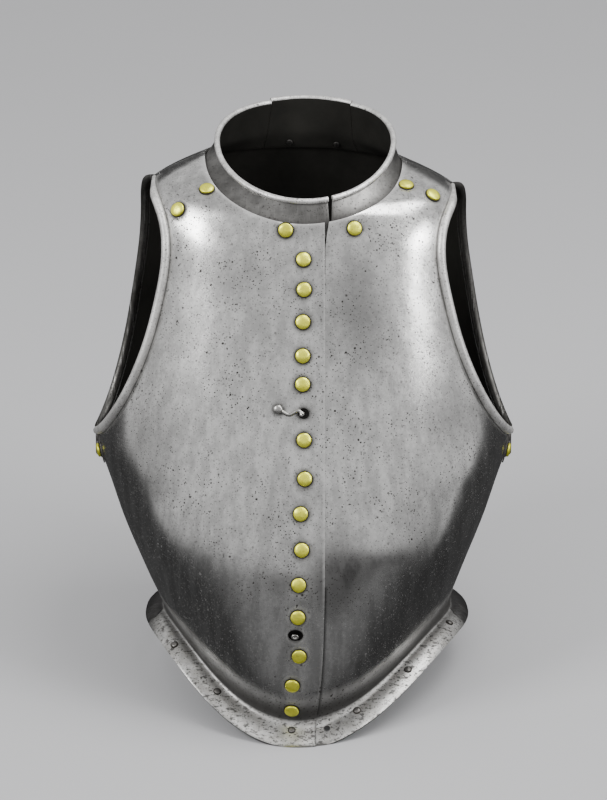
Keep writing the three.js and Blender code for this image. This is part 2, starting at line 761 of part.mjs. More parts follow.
// ---------------------------------------------------------------- side hinges
// Each leaf lies on its plate; the front leaf carries the end knuckles and the back leaf the
// middle one, all on an upright pin just outside the side seam.
function leafSheet(side, near, far) {
  const isFront = far < near;
  const grid = spread(2, hingeAxis.low, hingeAxis.high).map((height) => {
    const lift = new THREE.Vector3(side * (hingeAxis.x + leafThickness / 2), hingeAxis.y, height);
    const row = [lift, ...spread(3, near, far).map((angle) => {
      const degrees = side * angle;
      return skin(degrees, levelAtHeight(degrees, height), -fitGap - leafThickness);
    })];
    return (side > 0) === isFront ? row.reverse() : row;
  });
  return plate(grid, leafThickness);
}

function levelAtHeight(degrees, height) {
  let level = hingeLevel;
  for (let pass = 0; pass < 8; pass++) {
    const here = surface(degrees, level).z;
    const slope = (surface(degrees, level + 0.05).z - here) / 0.05;
    level += (height - here) / slope;
  }
  return level;
}

function upright(side, radius, low, high, sides = 12) {
  const centre = new THREE.Vector3(side * hingeAxis.x, hingeAxis.y, (low + high) / 2);
  return rod(centre, new THREE.Vector3(0, 0, 1), radius, high - low, sides);
}

function hingeLeaves(side) {
  const { low, high } = hingeAxis;
  const third = (high - low) / 3;
  const bore = upright(side, pinRadius + fitGap, low - 2, high + 2);
  const lowJoint = low + third;
  const highJoint = high - third;
  const room = (from, to) => upright(side, knuckleRadius + 0.5, from, to, 16);
  const middleRoom = room(lowJoint - fitGap / 2, highJoint + fitGap / 2);
  const endRooms = room(low - 1, lowJoint + fitGap / 2).add(room(highJoint - fitGap / 2, high + 1));
  const front = leafSheet(side, 89.5, 81)
    .add(upright(side, knuckleRadius, low, high))
    .subtract(middleRoom)
    .subtract(bore)
    .subtract(drill({ degrees: side * hingeFrontAngle, level: hingeLevel }, shankHole));
  const back = leafSheet(side, 97, 103.5)
    .add(upright(side, knuckleRadius, low, high))
    .subtract(endRooms)
    .subtract(bore)
    .subtract(drill({ degrees: side * hingeBackAngle, level: hingeLevel }, shankHole));
  return { front, back };
}

for (const [side, label] of [[-1, 'right'], [1, 'left']]) {
  const { front, back } = hingeLeaves(side);
  addSolid(`hinge_front_${label}`, front, materials.darkSteel);
  addSolid(`hinge_back_${label}`, back, materials.darkSteel);
  const pin = upright(side, pinRadius, hingeAxis.low - 0.8, hingeAxis.high + 0.8)
    .add(upright(side, pinRadius + 0.8, hingeAxis.high + fitGap, hingeAxis.high + 1.3))
    .add(upright(side, pinRadius + 0.8, hingeAxis.low - 1.3, hingeAxis.low - fitGap));
  addSolid(`hinge_pin_${label}`, pin, materials.darkSteel);
  const grip = backThickness + sideSag;
  const head = rivetGeometry({ ...smallHead, lift: leafRise, grip, tail: true });
  addPart(`hinge_back_rivet_${label}`, head, materials.darkSteel,
    { degrees: side * hingeBackAngle, level: hingeLevel });
}

stand.add(worn);
export default stand;
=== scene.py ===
# %% [markdown]
# # A waistcoat cuirass
# The object is body armour of about 1580: two steel front halves that hinge on a backplate
# and lap down the middle, a low collar, a flange at the waist and a row of brass-capped
# rivets. The CAD frame gives every size, body and joint. Blender gives it its finish.
# %% Load the frame
import json
import math
import bpy
import numpy as np
from mathutils import Matrix, Vector
from mathutils.kdtree import KDTree

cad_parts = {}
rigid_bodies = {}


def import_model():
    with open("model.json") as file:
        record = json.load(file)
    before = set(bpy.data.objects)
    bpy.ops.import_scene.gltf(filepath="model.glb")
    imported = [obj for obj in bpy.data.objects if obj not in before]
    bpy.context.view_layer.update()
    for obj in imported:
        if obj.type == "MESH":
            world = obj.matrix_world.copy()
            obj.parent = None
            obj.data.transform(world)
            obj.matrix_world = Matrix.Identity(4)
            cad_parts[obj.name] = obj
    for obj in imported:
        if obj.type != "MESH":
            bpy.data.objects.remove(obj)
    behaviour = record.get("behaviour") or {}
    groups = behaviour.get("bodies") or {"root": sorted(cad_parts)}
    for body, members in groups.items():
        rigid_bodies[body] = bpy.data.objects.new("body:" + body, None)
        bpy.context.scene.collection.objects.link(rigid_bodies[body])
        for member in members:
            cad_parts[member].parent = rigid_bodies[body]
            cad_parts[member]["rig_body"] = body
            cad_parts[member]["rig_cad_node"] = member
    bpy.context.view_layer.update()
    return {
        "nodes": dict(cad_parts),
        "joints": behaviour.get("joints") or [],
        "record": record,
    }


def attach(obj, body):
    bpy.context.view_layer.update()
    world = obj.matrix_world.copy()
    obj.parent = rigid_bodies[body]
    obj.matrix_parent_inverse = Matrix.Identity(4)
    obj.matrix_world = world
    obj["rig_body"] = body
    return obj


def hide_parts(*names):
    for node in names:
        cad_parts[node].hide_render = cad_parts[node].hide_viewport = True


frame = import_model()

# %% [markdown]
# ## The worn frame
# The cuirass leans back a little as it stands on its flange, but its form is easiest to
# describe upright, as it is worn, in millimetres. The left hinge's axis points straight up
# in that frame, so the joint alone tells how the worn frame lies in the standing one.
# %% From the worn frame to the standing one
MM = 0.001
HINGE_WORN = np.array([174.2, 13.2, 226.0])
joints = {joint["name"]: joint for joint in frame["joints"]}
up = np.array(joints["left_hinge"]["axis"], float)
aside = np.array([1.0, 0.0, 0.0])
turn_to_stand = np.column_stack([aside, np.cross(up, aside), up])
stand_origin = np.array(joints["left_hinge"]["pos_m"]) - turn_to_stand @ HINGE_WORN * MM


def to_stand(points):
    return points @ turn_to_stand.T * MM + stand_origin


print("the trunk leans back", round(math.degrees(math.atan2(up[1], up[2])), 1), "degrees")

# %% [markdown]
# ## The form of the body
# An armourer raises a plate over stakes until it follows the trunk, swelling towards a
# point low on the belly. A modeller could sculpt that, but level rings with a few named
# sizes are easier to change. Every column becomes one smooth curve over the height, so the
# polished surface has no flat spots.
# %% Level rings and the curves through them
COLUMNS = ("half_width", "side_height", "front", "front_height", "back", "back_height",
           "front_shape", "back_shape")
BODY_RINGS = [
    [121.5, 87, 130, 26, 90, 80, 1.8, 2.25],
    [125.5, 102, 143, 49, 87.5, 102, 1.85, 2.25],
    [132.5, 120, 152.5, 80, 88, 124, 1.9, 2.25],
    [143, 146, 157, 118, 92, 152, 1.95, 2.25],
    [154.5, 176, 153, 160, 97, 184, 2.05, 2.3],
    [165, 208, 143, 205, 103, 218, 2.1, 2.3],
    [172, 243, 131, 252, 109, 255, 2.2, 2.35],
    [163.5, 300, 119, 298, 115, 300, 2.3, 2.4],
    [152.5, 350, 107.5, 342, 117, 345, 2.3, 2.45],
    [145, 392, 97, 380, 113, 388, 2.3, 2.4],
    [141, 426, 90, 402, 106, 420, 2.25, 2.35],
    [133, 449, 84.5, 414, 99, 444, 2.15, 2.25],
    [109, 466, 82.3, 423, 92, 465, 2.3, 2.1],
    [82, 477, 81, 430.5, 85, 484, 2.65, 2],
]
FLANGE_RINGS = [
    [138, 79, 150, 8, 118, 58, 1.84, 2.25],
    [133, 84, 143.5, 13.5, 108, 66, 1.82, 2.25],
    [127, 86.5, 136, 19.5, 98, 73.5, 1.8, 2.25],
    [121.5, 87, 130, 26, 90, 80, 1.8, 2.25],
]
NECK_LEVEL = len(BODY_RINGS) - 1
EDGE_LEVEL = 1 - len(FLANGE_RINGS)


def natural_spline(values, start):
    values = np.asarray(values, float)
    count = len(values)
    system = np.eye(count)
    jumps = np.zeros(count)
    for i in range(1, count - 1):
        system[i, i - 1:i + 2] = [1, 4, 1]
        jumps[i] = 6 * (values[i + 1] - 2 * values[i] + values[i - 1])
    bend = np.linalg.solve(system, jumps)

    def at(level):
        i = np.clip(np.floor(level - start).astype(int), 0, count - 2)
        k = level - start - i
        slope = values[i + 1] - values[i] - (2 * bend[i] + bend[i + 1]) / 6
        return values[i] + k * (slope + k * (bend[i] / 2 + k * (bend[i + 1] - bend[i]) / 6))

    return at


body_curves = [natural_spline(column, 0) for column in zip(*BODY_RINGS)]
flange_curves = [natural_spline(column, EDGE_LEVEL) for column in zip(*FLANGE_RINGS)]


def ring_at(level):
    level = np.asarray(level, float)
    sizes = {}
    for name, body, flange in zip(COLUMNS, body_curves, flange_curves):
        sizes[name] = np.where(level >= 0, body(np.maximum(level, 0)), flange(np.minimum(level, 0)))
    return sizes


# %% [markdown]
# ## One surface for every plate
# Each ring is a squarish ellipse. Angle 0 is the middle of the front, 90 the wearer's left
# side and 180 the spine. The waist line dips to a point in front and lifts over the hips
# and the spine, and a shallow furrow runs down the back.
# %% The surface
RING_CENTRE = 4
WAIST_RINGS, WAIST_DRIFT, HIP_DRIFT = 4, 4.3, 3
HEIGHT_SHAPE = {"plain": 2.4, "front_waist": 0.95, "back_waist": 0.4}
NECK_TURN = {"start": 10.5, "share": 0.8}
LOW_SHOULDER = {"start": 8, "end": 11, "drop": 6.5}
FURROW = {"depth": 5, "reach": 26}
HIP_RISE = {"height": 8, "angle": 110, "reach": 17}
SPINE_RISE = {"height": 11, "reach": 40}
LEVEL_NUDGE = 0.02


def smooth_step(value, start, end):
    k = np.clip((value - start) / (end - start), 0, 1)
    return k * k * (3 - 2 * k)


def fading(distance, reach):
    return np.exp(-(distance / reach) ** 2)


def waist_share(level):
    return np.maximum(1 - np.maximum(level, 0) / WAIST_RINGS, 0) ** 2


def surface(degrees, level):
    degrees, level = np.broadcast_arrays(np.asarray(degrees, float), np.asarray(level, float))
    ring = ring_at(level)
    share = waist_share(level)
    across, ahead = np.sin(np.radians(degrees)), np.cos(np.radians(degrees))
    to_front, to_back = np.maximum(ahead, 0), np.maximum(-ahead, 0)
    is_front = ahead > 0
    depth = np.where(is_front, ring["front"] + RING_CENTRE, ring["back"] - RING_CENTRE)
    shape = np.where(is_front, ring["front_shape"], ring["back_shape"])
    height = np.where(is_front, ring["front_height"], ring["back_height"])
    turn = NECK_TURN["share"] * smooth_step(level, NECK_TURN["start"], NECK_LEVEL)
    plain = HEIGHT_SHAPE["plain"]
    power = np.where(is_front, plain + HEIGHT_SHAPE["front_waist"] * share - turn,
                     plain - HEIGHT_SHAPE["back_waist"] * share)
    total = np.abs(across / ring["half_width"]) ** shape + np.abs(ahead / depth) ** shape
    radius = total ** (-1 / shape)
    beside = radius * across
    furrow = FURROW["depth"] * fading(beside, FURROW["reach"]) * to_back
    turned = np.degrees(np.abs(np.arctan2(across, ahead)))
    hip_rise = HIP_RISE["height"] * share * fading(turned - HIP_RISE["angle"], HIP_RISE["reach"])
    lowered = smooth_step(level, LOW_SHOULDER["start"], LOW_SHOULDER["end"])
    lowered = lowered * LOW_SHOULDER["drop"] * np.maximum(across, 0) ** 2
    spine_rise = SPINE_RISE["height"] * share * fading(beside, SPINE_RISE["reach"]) * to_back
    return np.stack([
        beside + share * (HIP_DRIFT * across ** 2 - WAIST_DRIFT * to_front ** 2),
        RING_CENTRE - radius * ahead - furrow,
        ring["side_height"] + (height - ring["side_height"]) * np.abs(ahead) ** power
        + hip_rise + spine_rise - lowered,
    ], axis=-1)


def outward(degrees, level):
    low = np.maximum(level - LEVEL_NUDGE, np.where(np.asarray(level) >= 0, 0, EDGE_LEVEL))
    high = np.minimum(low + 2 * LEVEL_NUDGE, NECK_LEVEL)
    around = surface(np.asarray(degrees) + 1, level) - surface(np.asarray(degrees) - 1, level)
    rise = surface(degrees, high) - surface(degrees, low)
    normal = np.cross(around, rise)
    return normal / np.linalg.norm(normal, axis=-1, keepdims=True)


print("the chest is", round(2 * float(surface(90, 6.0)[0])), "mm wide")

# %% [markdown]
# ## The edges of the plates
# A plate ends where the smith cut it: at the side seam, round the arm hole and along the
# middle. The right half laps over the left one, whose hidden edge is set down by a little
# more than a plate's thickness, so that it clears the half above it.
# %% Seams, arm holes and the sunk lap
FRONT_THICK, BACK_THICK, COLLAR_THICK = 1.5, 1.6, 1.5
SEAM_GAP = 0.7
ARM = {"bottom": 5.9, "middle": 8.4, "top": 11.5}
FRONT_CUT = {"depth": 34.5, "low": 3, "high": 2.4}
BACK_CUT = {"depth": 20, "low": 2.6, "high": 2.6}
SIDE_LOW, SIDE_FALL = 93, 3
SIDE_FORWARD, SIDE_TURN = 16, 2
SEAM_EDGE, SEAM_DRIFT = 17.2, 6.8
LAP_EDGE, LAP_TOP, LAP_RAMP, LAP_DROP = -26, 9.4, 40, 1.8
LAP_FADE = 2
SEAM_PLAY, NECK_WEDGE, WEDGE_LEVEL = 0.5, 3.6, 10.6


def seam_angle(level):
    k = np.clip((level - ARM["bottom"]) / (ARM["top"] - ARM["bottom"]), 0, 1)
    forward = smooth_step(-np.asarray(level, float), -SIDE_TURN, SIDE_TURN)
    return SIDE_LOW - SIDE_FALL * k - SIDE_FORWARD * forward


def arm_cut(level, depth, low, high):
    above = level > ARM["middle"]
    span = np.where(above, ARM["top"] - ARM["middle"], ARM["middle"] - ARM["bottom"])
    k = np.clip(np.abs(level - ARM["middle"]) / span, 0, 1)
    return depth * np.sqrt(1 - k ** np.where(above, high, low))


def front_side(level):
    return seam_angle(level) - arm_cut(level, **FRONT_CUT)


def back_side(level):
    return seam_angle(level) + arm_cut(level, **BACK_CUT)


def gap_angle(level):
    return np.degrees(SEAM_GAP / 2 / ring_at(level)["half_width"])


def centre_seam(level):
    return SEAM_EDGE - SEAM_DRIFT * waist_share(level)


def under_edge(level):
    k = np.clip((level - WEDGE_LEVEL) / (NECK_LEVEL - WEDGE_LEVEL), 0, 1)
    wedge = centre_seam(level) + SEAM_PLAY + (NECK_WEDGE - SEAM_PLAY) * k
    return np.where(level <= LAP_TOP, LAP_EDGE - WAIST_DRIFT * waist_share(level), wedge)


def lap_sink(x, level):
    fade = 1 - smooth_step(level, LAP_TOP, LAP_TOP + LAP_FADE)
    ramp = 1 - smooth_step(x, centre_seam(level), centre_seam(level) + LAP_RAMP)
    return LAP_DROP * fade * ramp


def angle_at(x, level):
    degrees = np.zeros(np.shape(level))
    for _ in range(12):
        reach = ring_at(level)["front"] + RING_CENTRE
        degrees = degrees + np.degrees((x - surface(degrees, level)[..., 0]) / reach)
    return degrees


# %% [markdown]
# ## Turning a grid into a plate
# A grid primitive has the right rows and columns already, so each of its corners is moved
# to its place on the surface. Solidify then gives the sheet its thickness towards the
# inside, and a narrow bevel takes the sharpness off the edges, as filing does. That thin
# round edge catches the light all along a seam.
# %% Tools for making pieces
EDGE_ROUND = 0.45 * MM
INNER_SLOT, ROLL_SLOT = 1, 2
holders = [bpy.data.materials.new(name) for name in ("outer_face", "inner_face", "rolled_edge")]


def store(piece, name, values):
    layer = piece.data.attributes.new(name, "FLOAT", "POINT")
    layer.data.foreach_set("value", np.asarray(values, np.float32))


def positions(piece):
    flat = np.zeros(len(piece.data.vertices) * 3)
    piece.data.vertices.foreach_get("co", flat)
    return flat.reshape(-1, 3)


def move_points(piece, places):
    piece.data.vertices.foreach_set("co", places.ravel())
    piece.data.update()


def pick(*objects):
    bpy.ops.object.select_all(action="DESELECT")
    for each in objects:
        each.select_set(True)
    bpy.context.view_layer.objects.active = objects[0]


def apply_all(piece):
    pick(piece)
    for modifier in list(piece.modifiers):
        bpy.ops.object.modifier_apply(modifier=modifier.name)


def grid_sheet(name, points):
    rows, cols = points.shape[:2]
    bpy.ops.object.select_all(action="DESELECT")
    bpy.ops.mesh.primitive_grid_add(x_subdivisions=cols - 1, y_subdivisions=rows - 1, size=2)
    sheet = bpy.context.active_object
    sheet.name = name
    sheet.data.name = name
    across, up_the_sheet, _ = (positions(sheet).T + 1) / 2
    column = np.rint(across * (cols - 1)).astype(int)
    row = np.rint(up_the_sheet * (rows - 1)).astype(int)
    move_points(sheet, to_stand(points[row, column]))
    return sheet, row, column


def hold_slots(piece):
    """Stand-in materials keep the three slots apart until the finishes are made."""
    for holder in holders:
        piece.data.materials.append(holder)


def thicken(piece, thickness):
    hold_slots(piece)
    solid = piece.modifiers.new("thickness", "SOLIDIFY")
    solid.thickness = thickness * MM
    solid.offset = -1
    solid.use_even_offset = True
    solid.material_offset = INNER_SLOT
    apply_all(piece)


def round_edges(piece, width=EDGE_ROUND, angle=50):
    bevel = piece.modifiers.new("filed edge", "BEVEL")
    bevel.width = width
    bevel.segments = 2
    bevel.limit_method = "ANGLE"
    bevel.angle_limit = math.radians(angle)
    bevel.use_clamp_overlap = True
    apply_all(piece)


def smooth(piece, angle=42):
    pick(piece)
    bpy.ops.object.shade_smooth_by_angle(angle=math.radians(angle))


ROW_STEP, WALKED_ANGLE = 2.4, 40.0
ARM_ROWS, ROWS_ABOVE, ROWS_BELOW = 14, 0.9, 0.8
LAP_CUT = 0.03


def level_rows():
    """Even steps along the plate, with closer rows at both ends of the arm hole."""
    fine = np.linspace(EDGE_LEVEL, NECK_LEVEL, 4001)
    line = surface(WALKED_ANGLE, fine)
    walked = np.concatenate([[0], np.cumsum(np.linalg.norm(np.diff(line, axis=0), axis=1))])
    even = np.interp(np.arange(0, walked[-1], ROW_STEP), walked, fine)
    turns = 1 - np.cos(np.linspace(0, math.pi / 2, ARM_ROWS))
    bottom = ARM["bottom"] + ROWS_ABOVE * turns
    top = ARM["top"] - ROWS_BELOW * turns
    kept = [EDGE_LEVEL, 0, LAP_TOP, LAP_TOP + LAP_CUT, NECK_LEVEL]
    return np.unique(np.round(np.concatenate([even, bottom, top, kept]), 4))


levels = level_rows()
print(len(levels), "rows from the flange to the neck")

# %% [markdown]
# ## Rounding the bend at the waist
# The flange is hammered outwards over a stake, which leaves a tight round bend and not a
# sharp fold. Averaging the few rows next to the waist line gives the sheet that bend.
# %% Soften the bend
BEND_PASSES = 6
BEND_LEVELS = 0.16
FLANGE_FADE = 0.02, 0.22
SEAM_MARGIN = 0.2


def ease_rows(points, rows, passes):
    for _ in range(passes):
        points[rows] = (points[rows - 1] + 2 * points[rows] + points[rows + 1]) / 4
    return points


def soften_bend(points):
    near = np.abs(levels) < BEND_LEVELS
    near[[0, -1]] = False
    return ease_rows(points, np.flatnonzero(near), BEND_PASSES)


def between(*anchors, counts):
    parts = [anchors[0][:, None]]
    for start, end, count in zip(anchors, anchors[1:], counts):
        k = np.arange(1, count + 1) / count
        parts.append(start[:, None] + (end - start)[:, None] * k)
    return np.concatenate(parts, axis=1)


def body_sheet(name, angles, sink=None):
    rows = levels[:, None]
    points = surface(angles, rows)
    if sink is not None:
        points = points - outward(angles, np.broadcast_to(rows, angles.shape)) * sink[..., None]
    sheet, row, column = grid_sheet(name, soften_bend(points))
    store(sheet, "flange", smooth_step(-levels[row], *FLANGE_FADE))
    if sink is not None:
        # The part of the lap under the right half is marked for painted shade.
        hidden = points[..., 0] < centre_seam(rows) - SEAM_MARGIN
        store(sheet, "hidden", hidden[row, column])
    return sheet


# %% [markdown]
# ## The two front halves and the backplate
# The right half reaches past the middle, to the seam that shows. The left half carries on
# under it as a sunk lap. The backplate runs from one side seam round the spine to the
# other.
# %% Make the three big plates
RIGHT_COLUMNS, LEFT_COLUMNS, BACK_COLUMNS = [104], [10, 14, 84], [170]
LAP_LEAST = 0.6
seam_line = centre_seam(levels)
side_line = front_side(levels) - gap_angle(levels)
right_angles = between(-side_line, angle_at(seam_line, levels), counts=RIGHT_COLUMNS)
right_plate = body_sheet("right_half", right_angles)

left_angles = between(angle_at(under_edge(levels), levels),
                      angle_at(np.maximum(seam_line, under_edge(levels) + LAP_LEAST), levels),
                      angle_at(seam_line + LAP_RAMP, levels), side_line, counts=LEFT_COLUMNS)
left_sink = lap_sink(surface(left_angles, levels[:, None])[..., 0], levels[:, None])
left_plate = body_sheet("left_half", left_angles, left_sink)

back_start = back_side(levels) + gap_angle(levels)
back_angles = between(back_start, 360 - back_start, counts=BACK_COLUMNS)
back_plate = body_sheet("back_half", back_angles)

for plate in (right_plate, left_plate, back_plate):
    thicken(plate, BACK_THICK if plate is back_plate else FRONT_THICK)
    print(plate.name, len(plate.data.polygons), "faces")

# %% [markdown]
# ## Holes in the plates
# The hook's stud shows through a round hole in the right half, a second hole lower down has
# lost its rivet's cap, and one rivet is missing from the flange. A boolean with a plain
# cylinder cuts each one, as a drill or punch does.
# %% Spots on the body and the punched holes
UPPER_HOLE, UPPER_BORE = (0.2, 282.3), 4.4
LOWER_HOLE, LOWER_BORE, LOWER_WIDE = (-6.5, 105.2), 5.0, 1.26
FLANGE_HOLE, FLANGE_BORE = (9.6, -1.29), 2.6
PUNCH_LENGTH = 16
FIRST_LEVEL, NUDGE = 6.0, 0.05
LONGEST_STEP = np.array([8, 0.8])


def find_on_front(x, height):
    """Step towards the angle and level whose surface point lies at x and height."""
    spot = np.array([math.degrees(math.asin(x / 180)), FIRST_LEVEL])
    for _ in range(40):
        here = surface(*spot)[[0, 2]]
        turn = (surface(spot[0] + NUDGE, spot[1])[[0, 2]] - here) / NUDGE
        rise = (surface(spot[0], spot[1] + NUDGE)[[0, 2]] - here) / NUDGE
        step = np.linalg.solve(np.column_stack([turn, rise]), np.array([x, height]) - here)
        spot = spot + np.clip(step, -LONGEST_STEP, LONGEST_STEP)
        spot[1] = np.clip(spot[1], 0, NECK_LEVEL - NUDGE)
    return spot


def plate_frame(degrees, level, lift=0.0):
    """The matrix that takes +Z to the plate's outside and +X to the wearer's left."""
    normal = turn_to_stand @ outward(degrees, np.float64(level))
    place = to_stand(surface(degrees, level)) + normal * lift * MM
    along = aside - normal * normal[0]
    along = along / np.linalg.norm(along)
    basis = Matrix(np.column_stack([along, np.cross(normal, along), normal]).tolist())
    return Matrix.Translation(place) @ basis.to_4x4()


def punch(plate, degrees, level, radius, wide=1.0):
    bpy.ops.object.select_all(action="DESELECT")
    bpy.ops.mesh.primitive_cylinder_add(vertices=40, radius=radius * MM, depth=PUNCH_LENGTH * MM)
    tool = bpy.context.active_object
    tool.matrix_world = plate_frame(degrees, level) @ Matrix.Diagonal((wide, 1, 1, 1))
    cut = plate.modifiers.new("hole", "BOOLEAN")
    cut.operation = "DIFFERENCE"
    cut.solver = "EXACT"
    cut.object = tool
    apply_all(plate)
    bpy.data.objects.remove(tool)


punch(right_plate, *find_on_front(*UPPER_HOLE), UPPER_BORE)
punch(right_plate, *find_on_front(*LOWER_HOLE), LOWER_BORE, LOWER_WIDE)
punch(left_plate, *FLANGE_HOLE, FLANGE_BORE)
print("three holes punched")

# %% [markdown]
# ## Rolled arm holes
# The edge of each arm hole is rolled outwards over a wire, so that it can't dig into the
# arm. A round bar along the edge shows the roll. At the shoulder it gets thinner and sinks
# into the plate.
# %% Round bars along the edges
ARM_ROLL, RIM_ROLL = 3.6, 2.4
ROLL_OUT, ROLL_INSET, FRONT_ROLL_STOP = 0.8, 3, 85.5
SHOULDER_LEVELS, SHOULDER_SINK, SHOULDER_THIN = (11.0, 11.5), 3.2, 0.45


def new_curve(name, radius, sides):
    curve = bpy.data.curves.new(name, "CURVE")
    curve.dimensions = "3D"
    curve.bevel_depth = radius * MM
    curve.bevel_resolution = sides
    curve.use_fill_caps = True
    return curve


def as_mesh(curve):
    bar = bpy.data.objects.new(curve.name, curve)
    bpy.context.scene.collection.objects.link(bar)
    pick(bar)
    bpy.ops.object.convert(target="MESH")
    return bpy.context.active_object


def round_bar(name, centres, radius, sides, shares):
    curve = new_curve(name, radius, sides)
    line = curve.splines.new("POLY")
    line.points.add(len(centres) - 1)
    for point, place, share in zip(line.points, to_stand(centres), shares):
        point.co = (*place, 1)
        point.radius = share
    return as_mesh(curve)


def arm_roll(side, cut):
    is_front = cut is front_side
    thickness = FRONT_THICK if is_front else BACK_THICK
    turns = (1 - np.cos(np.linspace(0, math.pi, 150))) / 2
    route = ARM["top"] + (ARM["bottom"] - ARM["top"]) * turns
    if is_front:
        route = route[(route > ARM["middle"]) | (cut(route) < FRONT_ROLL_STOP)]
    inset = -ROLL_INSET if is_front else ROLL_INSET
    degrees = side * (cut(route) + inset * gap_angle(route))
    edge, proud = surface(degrees, route), outward(degrees, route)
    along = np.gradient(edge, axis=0)
    across = np.cross(along, proud)
    across /= np.linalg.norm(across, axis=1, keepdims=True)
    middle = surface(side * float(seam_angle(ARM["middle"])), ARM["middle"])
    flip = np.sign(np.sum((middle - edge) * across, axis=1, keepdims=True))
    thin = smooth_step(route, *SHOULDER_LEVELS)[:, None]
    lift = ARM_ROLL - thickness - SHOULDER_SINK * thin
    centres = edge + across * flip * ARM_ROLL * ROLL_OUT + proud * lift
    return round_bar("roll", centres, ARM_ROLL, 4, 1 - SHOULDER_THIN * thin[:, 0])


def join(piece, *others):
    pick(piece, *others)
    bpy.ops.object.join()
    return piece


def join_roll(piece, bars):
    for bar in bars:
        hold_slots(bar)
        slots = np.full(len(bar.data.polygons), ROLL_SLOT, np.int32)
        bar.data.polygons.foreach_set("material_index", slots)
    return join(piece, *bars)


rolls = {
    "right_half": [arm_roll(-1, front_side)],
    "left_half": [arm_roll(1, front_side)],
    "back_half": [arm_roll(-1, back_side), arm_roll(1, back_side)],
}
print("the arm rolls are", 2 * ARM_ROLL, "mm thick")

# %% [markdown]
# ## The collar
# The collar is three upright strips, riveted inside the neck edge, with the top rolled like
# the arm holes. Its foot follows the plate from inside, and above the neck it narrows to an
# oval rim that is low in front.
# %% Collar strips
COLLAR_TUCK, TUCK_TOP, TUCK_DEPTH = 13.6, 1.2, 2.8
TUCK_ROWS, RISING_ROWS, FOOT_PASSES = 5, 17, 4
COLUMN_DEGREES, LEAN_REACH, COLLAR_HOLLOW = 1.25, 8, 2.4
RIM = {"half_width": 72.5, "shift": 1.5, "front": 70.5, "back": 76.5,
       "height": 487, "fall": 33.5, "dip": 6}
# Where each strip starts and ends, how far its rim sags at the back, and how far the foot of
# its first edge leans.
COLLAR_SPANS = {"right_collar": (-156.4, 14.2, 4.2, 0), "left_collar": (17, 147.4, 4.2, 1.7),
                "back_collar": (147.6, 203.4, 2.0, 0)}


def rim_line(degrees):
    across, ahead = np.sin(np.radians(degrees)), np.cos(np.radians(degrees))
    depth = np.where(ahead > 0, RIM["front"] + RING_CENTRE, RIM["back"] - RING_CENTRE)
    radius = 1 / np.hypot(across / RIM["half_width"], ahead / depth)
    return np.stack([RIM["shift"] + radius * across, RING_CENTRE - radius * ahead,
                     RIM["height"] - RIM["fall"] * ahead - RIM["dip"] * ahead ** 2], axis=-1)


def below_neck(degrees, distance):
    fine = np.linspace(NECK_LEVEL, ARM["middle"], 120)
    line = surface(np.asarray(degrees)[:, None], fine[None, :])
    walked = np.cumsum(np.linalg.norm(np.diff(line, axis=1), axis=2), axis=1)
    return np.array([fine[1:][np.searchsorted(row, distance)] for row in walked])


def collar_strip(name, start, end, sag, lean):
    upper = np.linspace(start, end, int((end - start) / COLUMN_DEGREES) + 1)
    degrees = upper - lean * np.exp((start - upper) / LEAN_REACH)
    foot_levels = [below_neck(degrees, d) for d in np.linspace(COLLAR_TUCK, TUCK_TOP, TUCK_ROWS)]
    foot_levels.append(np.full(degrees.shape, NECK_LEVEL - LEVEL_NUDGE))
    tucked = [surface(degrees, level) - outward(degrees, level) * TUCK_DEPTH for level in foot_levels]
    throat = tucked.pop()
    rim = rim_line(upper)
    rim[:, 2] -= sag * np.maximum(-np.cos(np.radians(upper)), 0) ** 2
    rising = []
    for k in np.linspace(0, 1, RISING_ROWS):
        rising.append(throat + (rim - throat) * k - np.array([0, 0, COLLAR_HOLLOW * k * (1 - k)]))
    bend = np.arange(TUCK_ROWS - 2, TUCK_ROWS + 4)
    strip, *_ = grid_sheet(name, ease_rows(np.array(tucked + rising), bend, FOOT_PASSES))
    thicken(strip, COLLAR_THICK)
    flat = rim - np.array([0, RING_CENTRE, 0])
    flat[:, 2] = 0
    proud = flat / np.linalg.norm(flat, axis=1, keepdims=True)
    centres = rim + proud * (RIM_ROLL - COLLAR_THICK)
    return strip, round_bar("rim", centres, RIM_ROLL, 3, np.ones(len(centres)))


collars = {name: collar_strip(name, *span) for name, span in COLLAR_SPANS.items()}
print(len(collars), "collar strips")

# %% [markdown]
# ## Brass caps
# Each rivet down the front wears a thin domed cap of brass, pressed over its head. The cap is a short
# cylinder whose top is inset and raised four times and then bevelled into a dome. A thin dark disc
# goes under each cap. It is painted shade, a dark ring round the cap where it meets the plate.
# %% Model one domed head
CAP_RADIUS, CAP_HEIGHT = 5.9, 2.9
SMALL_RADIUS, SMALL_HEIGHT = 2.6, 1.0
HEAD_LIFT, SHADE_DISC_SINK = 0.3, 0.4
WALL_SHARE, CROWN_BEVEL = 0.55, 0.16
# How far each inset goes in, as a share of the radius, and up, as a share of the height.
DOME_STEPS = (0.18, 0.22), (0.2, 0.13), (0.22, 0.07), (0.2, 0.03)


def cylinder(name, radius, low, high, sides):
    bpy.ops.object.select_all(action="DESELECT")
    bpy.ops.mesh.primitive_cylinder_add(vertices=sides, radius=radius * MM, depth=(high - low) * MM,
                                        location=(0, 0, (low + high) / 2 * MM))
    made = bpy.context.active_object
    made.name = name
    bpy.ops.object.transform_apply(location=True, rotation=True, scale=True)
    return made


def disc(name, radius, low, high):
    made = cylinder(name, radius, low, high, 36)
    smooth(made)
    return made


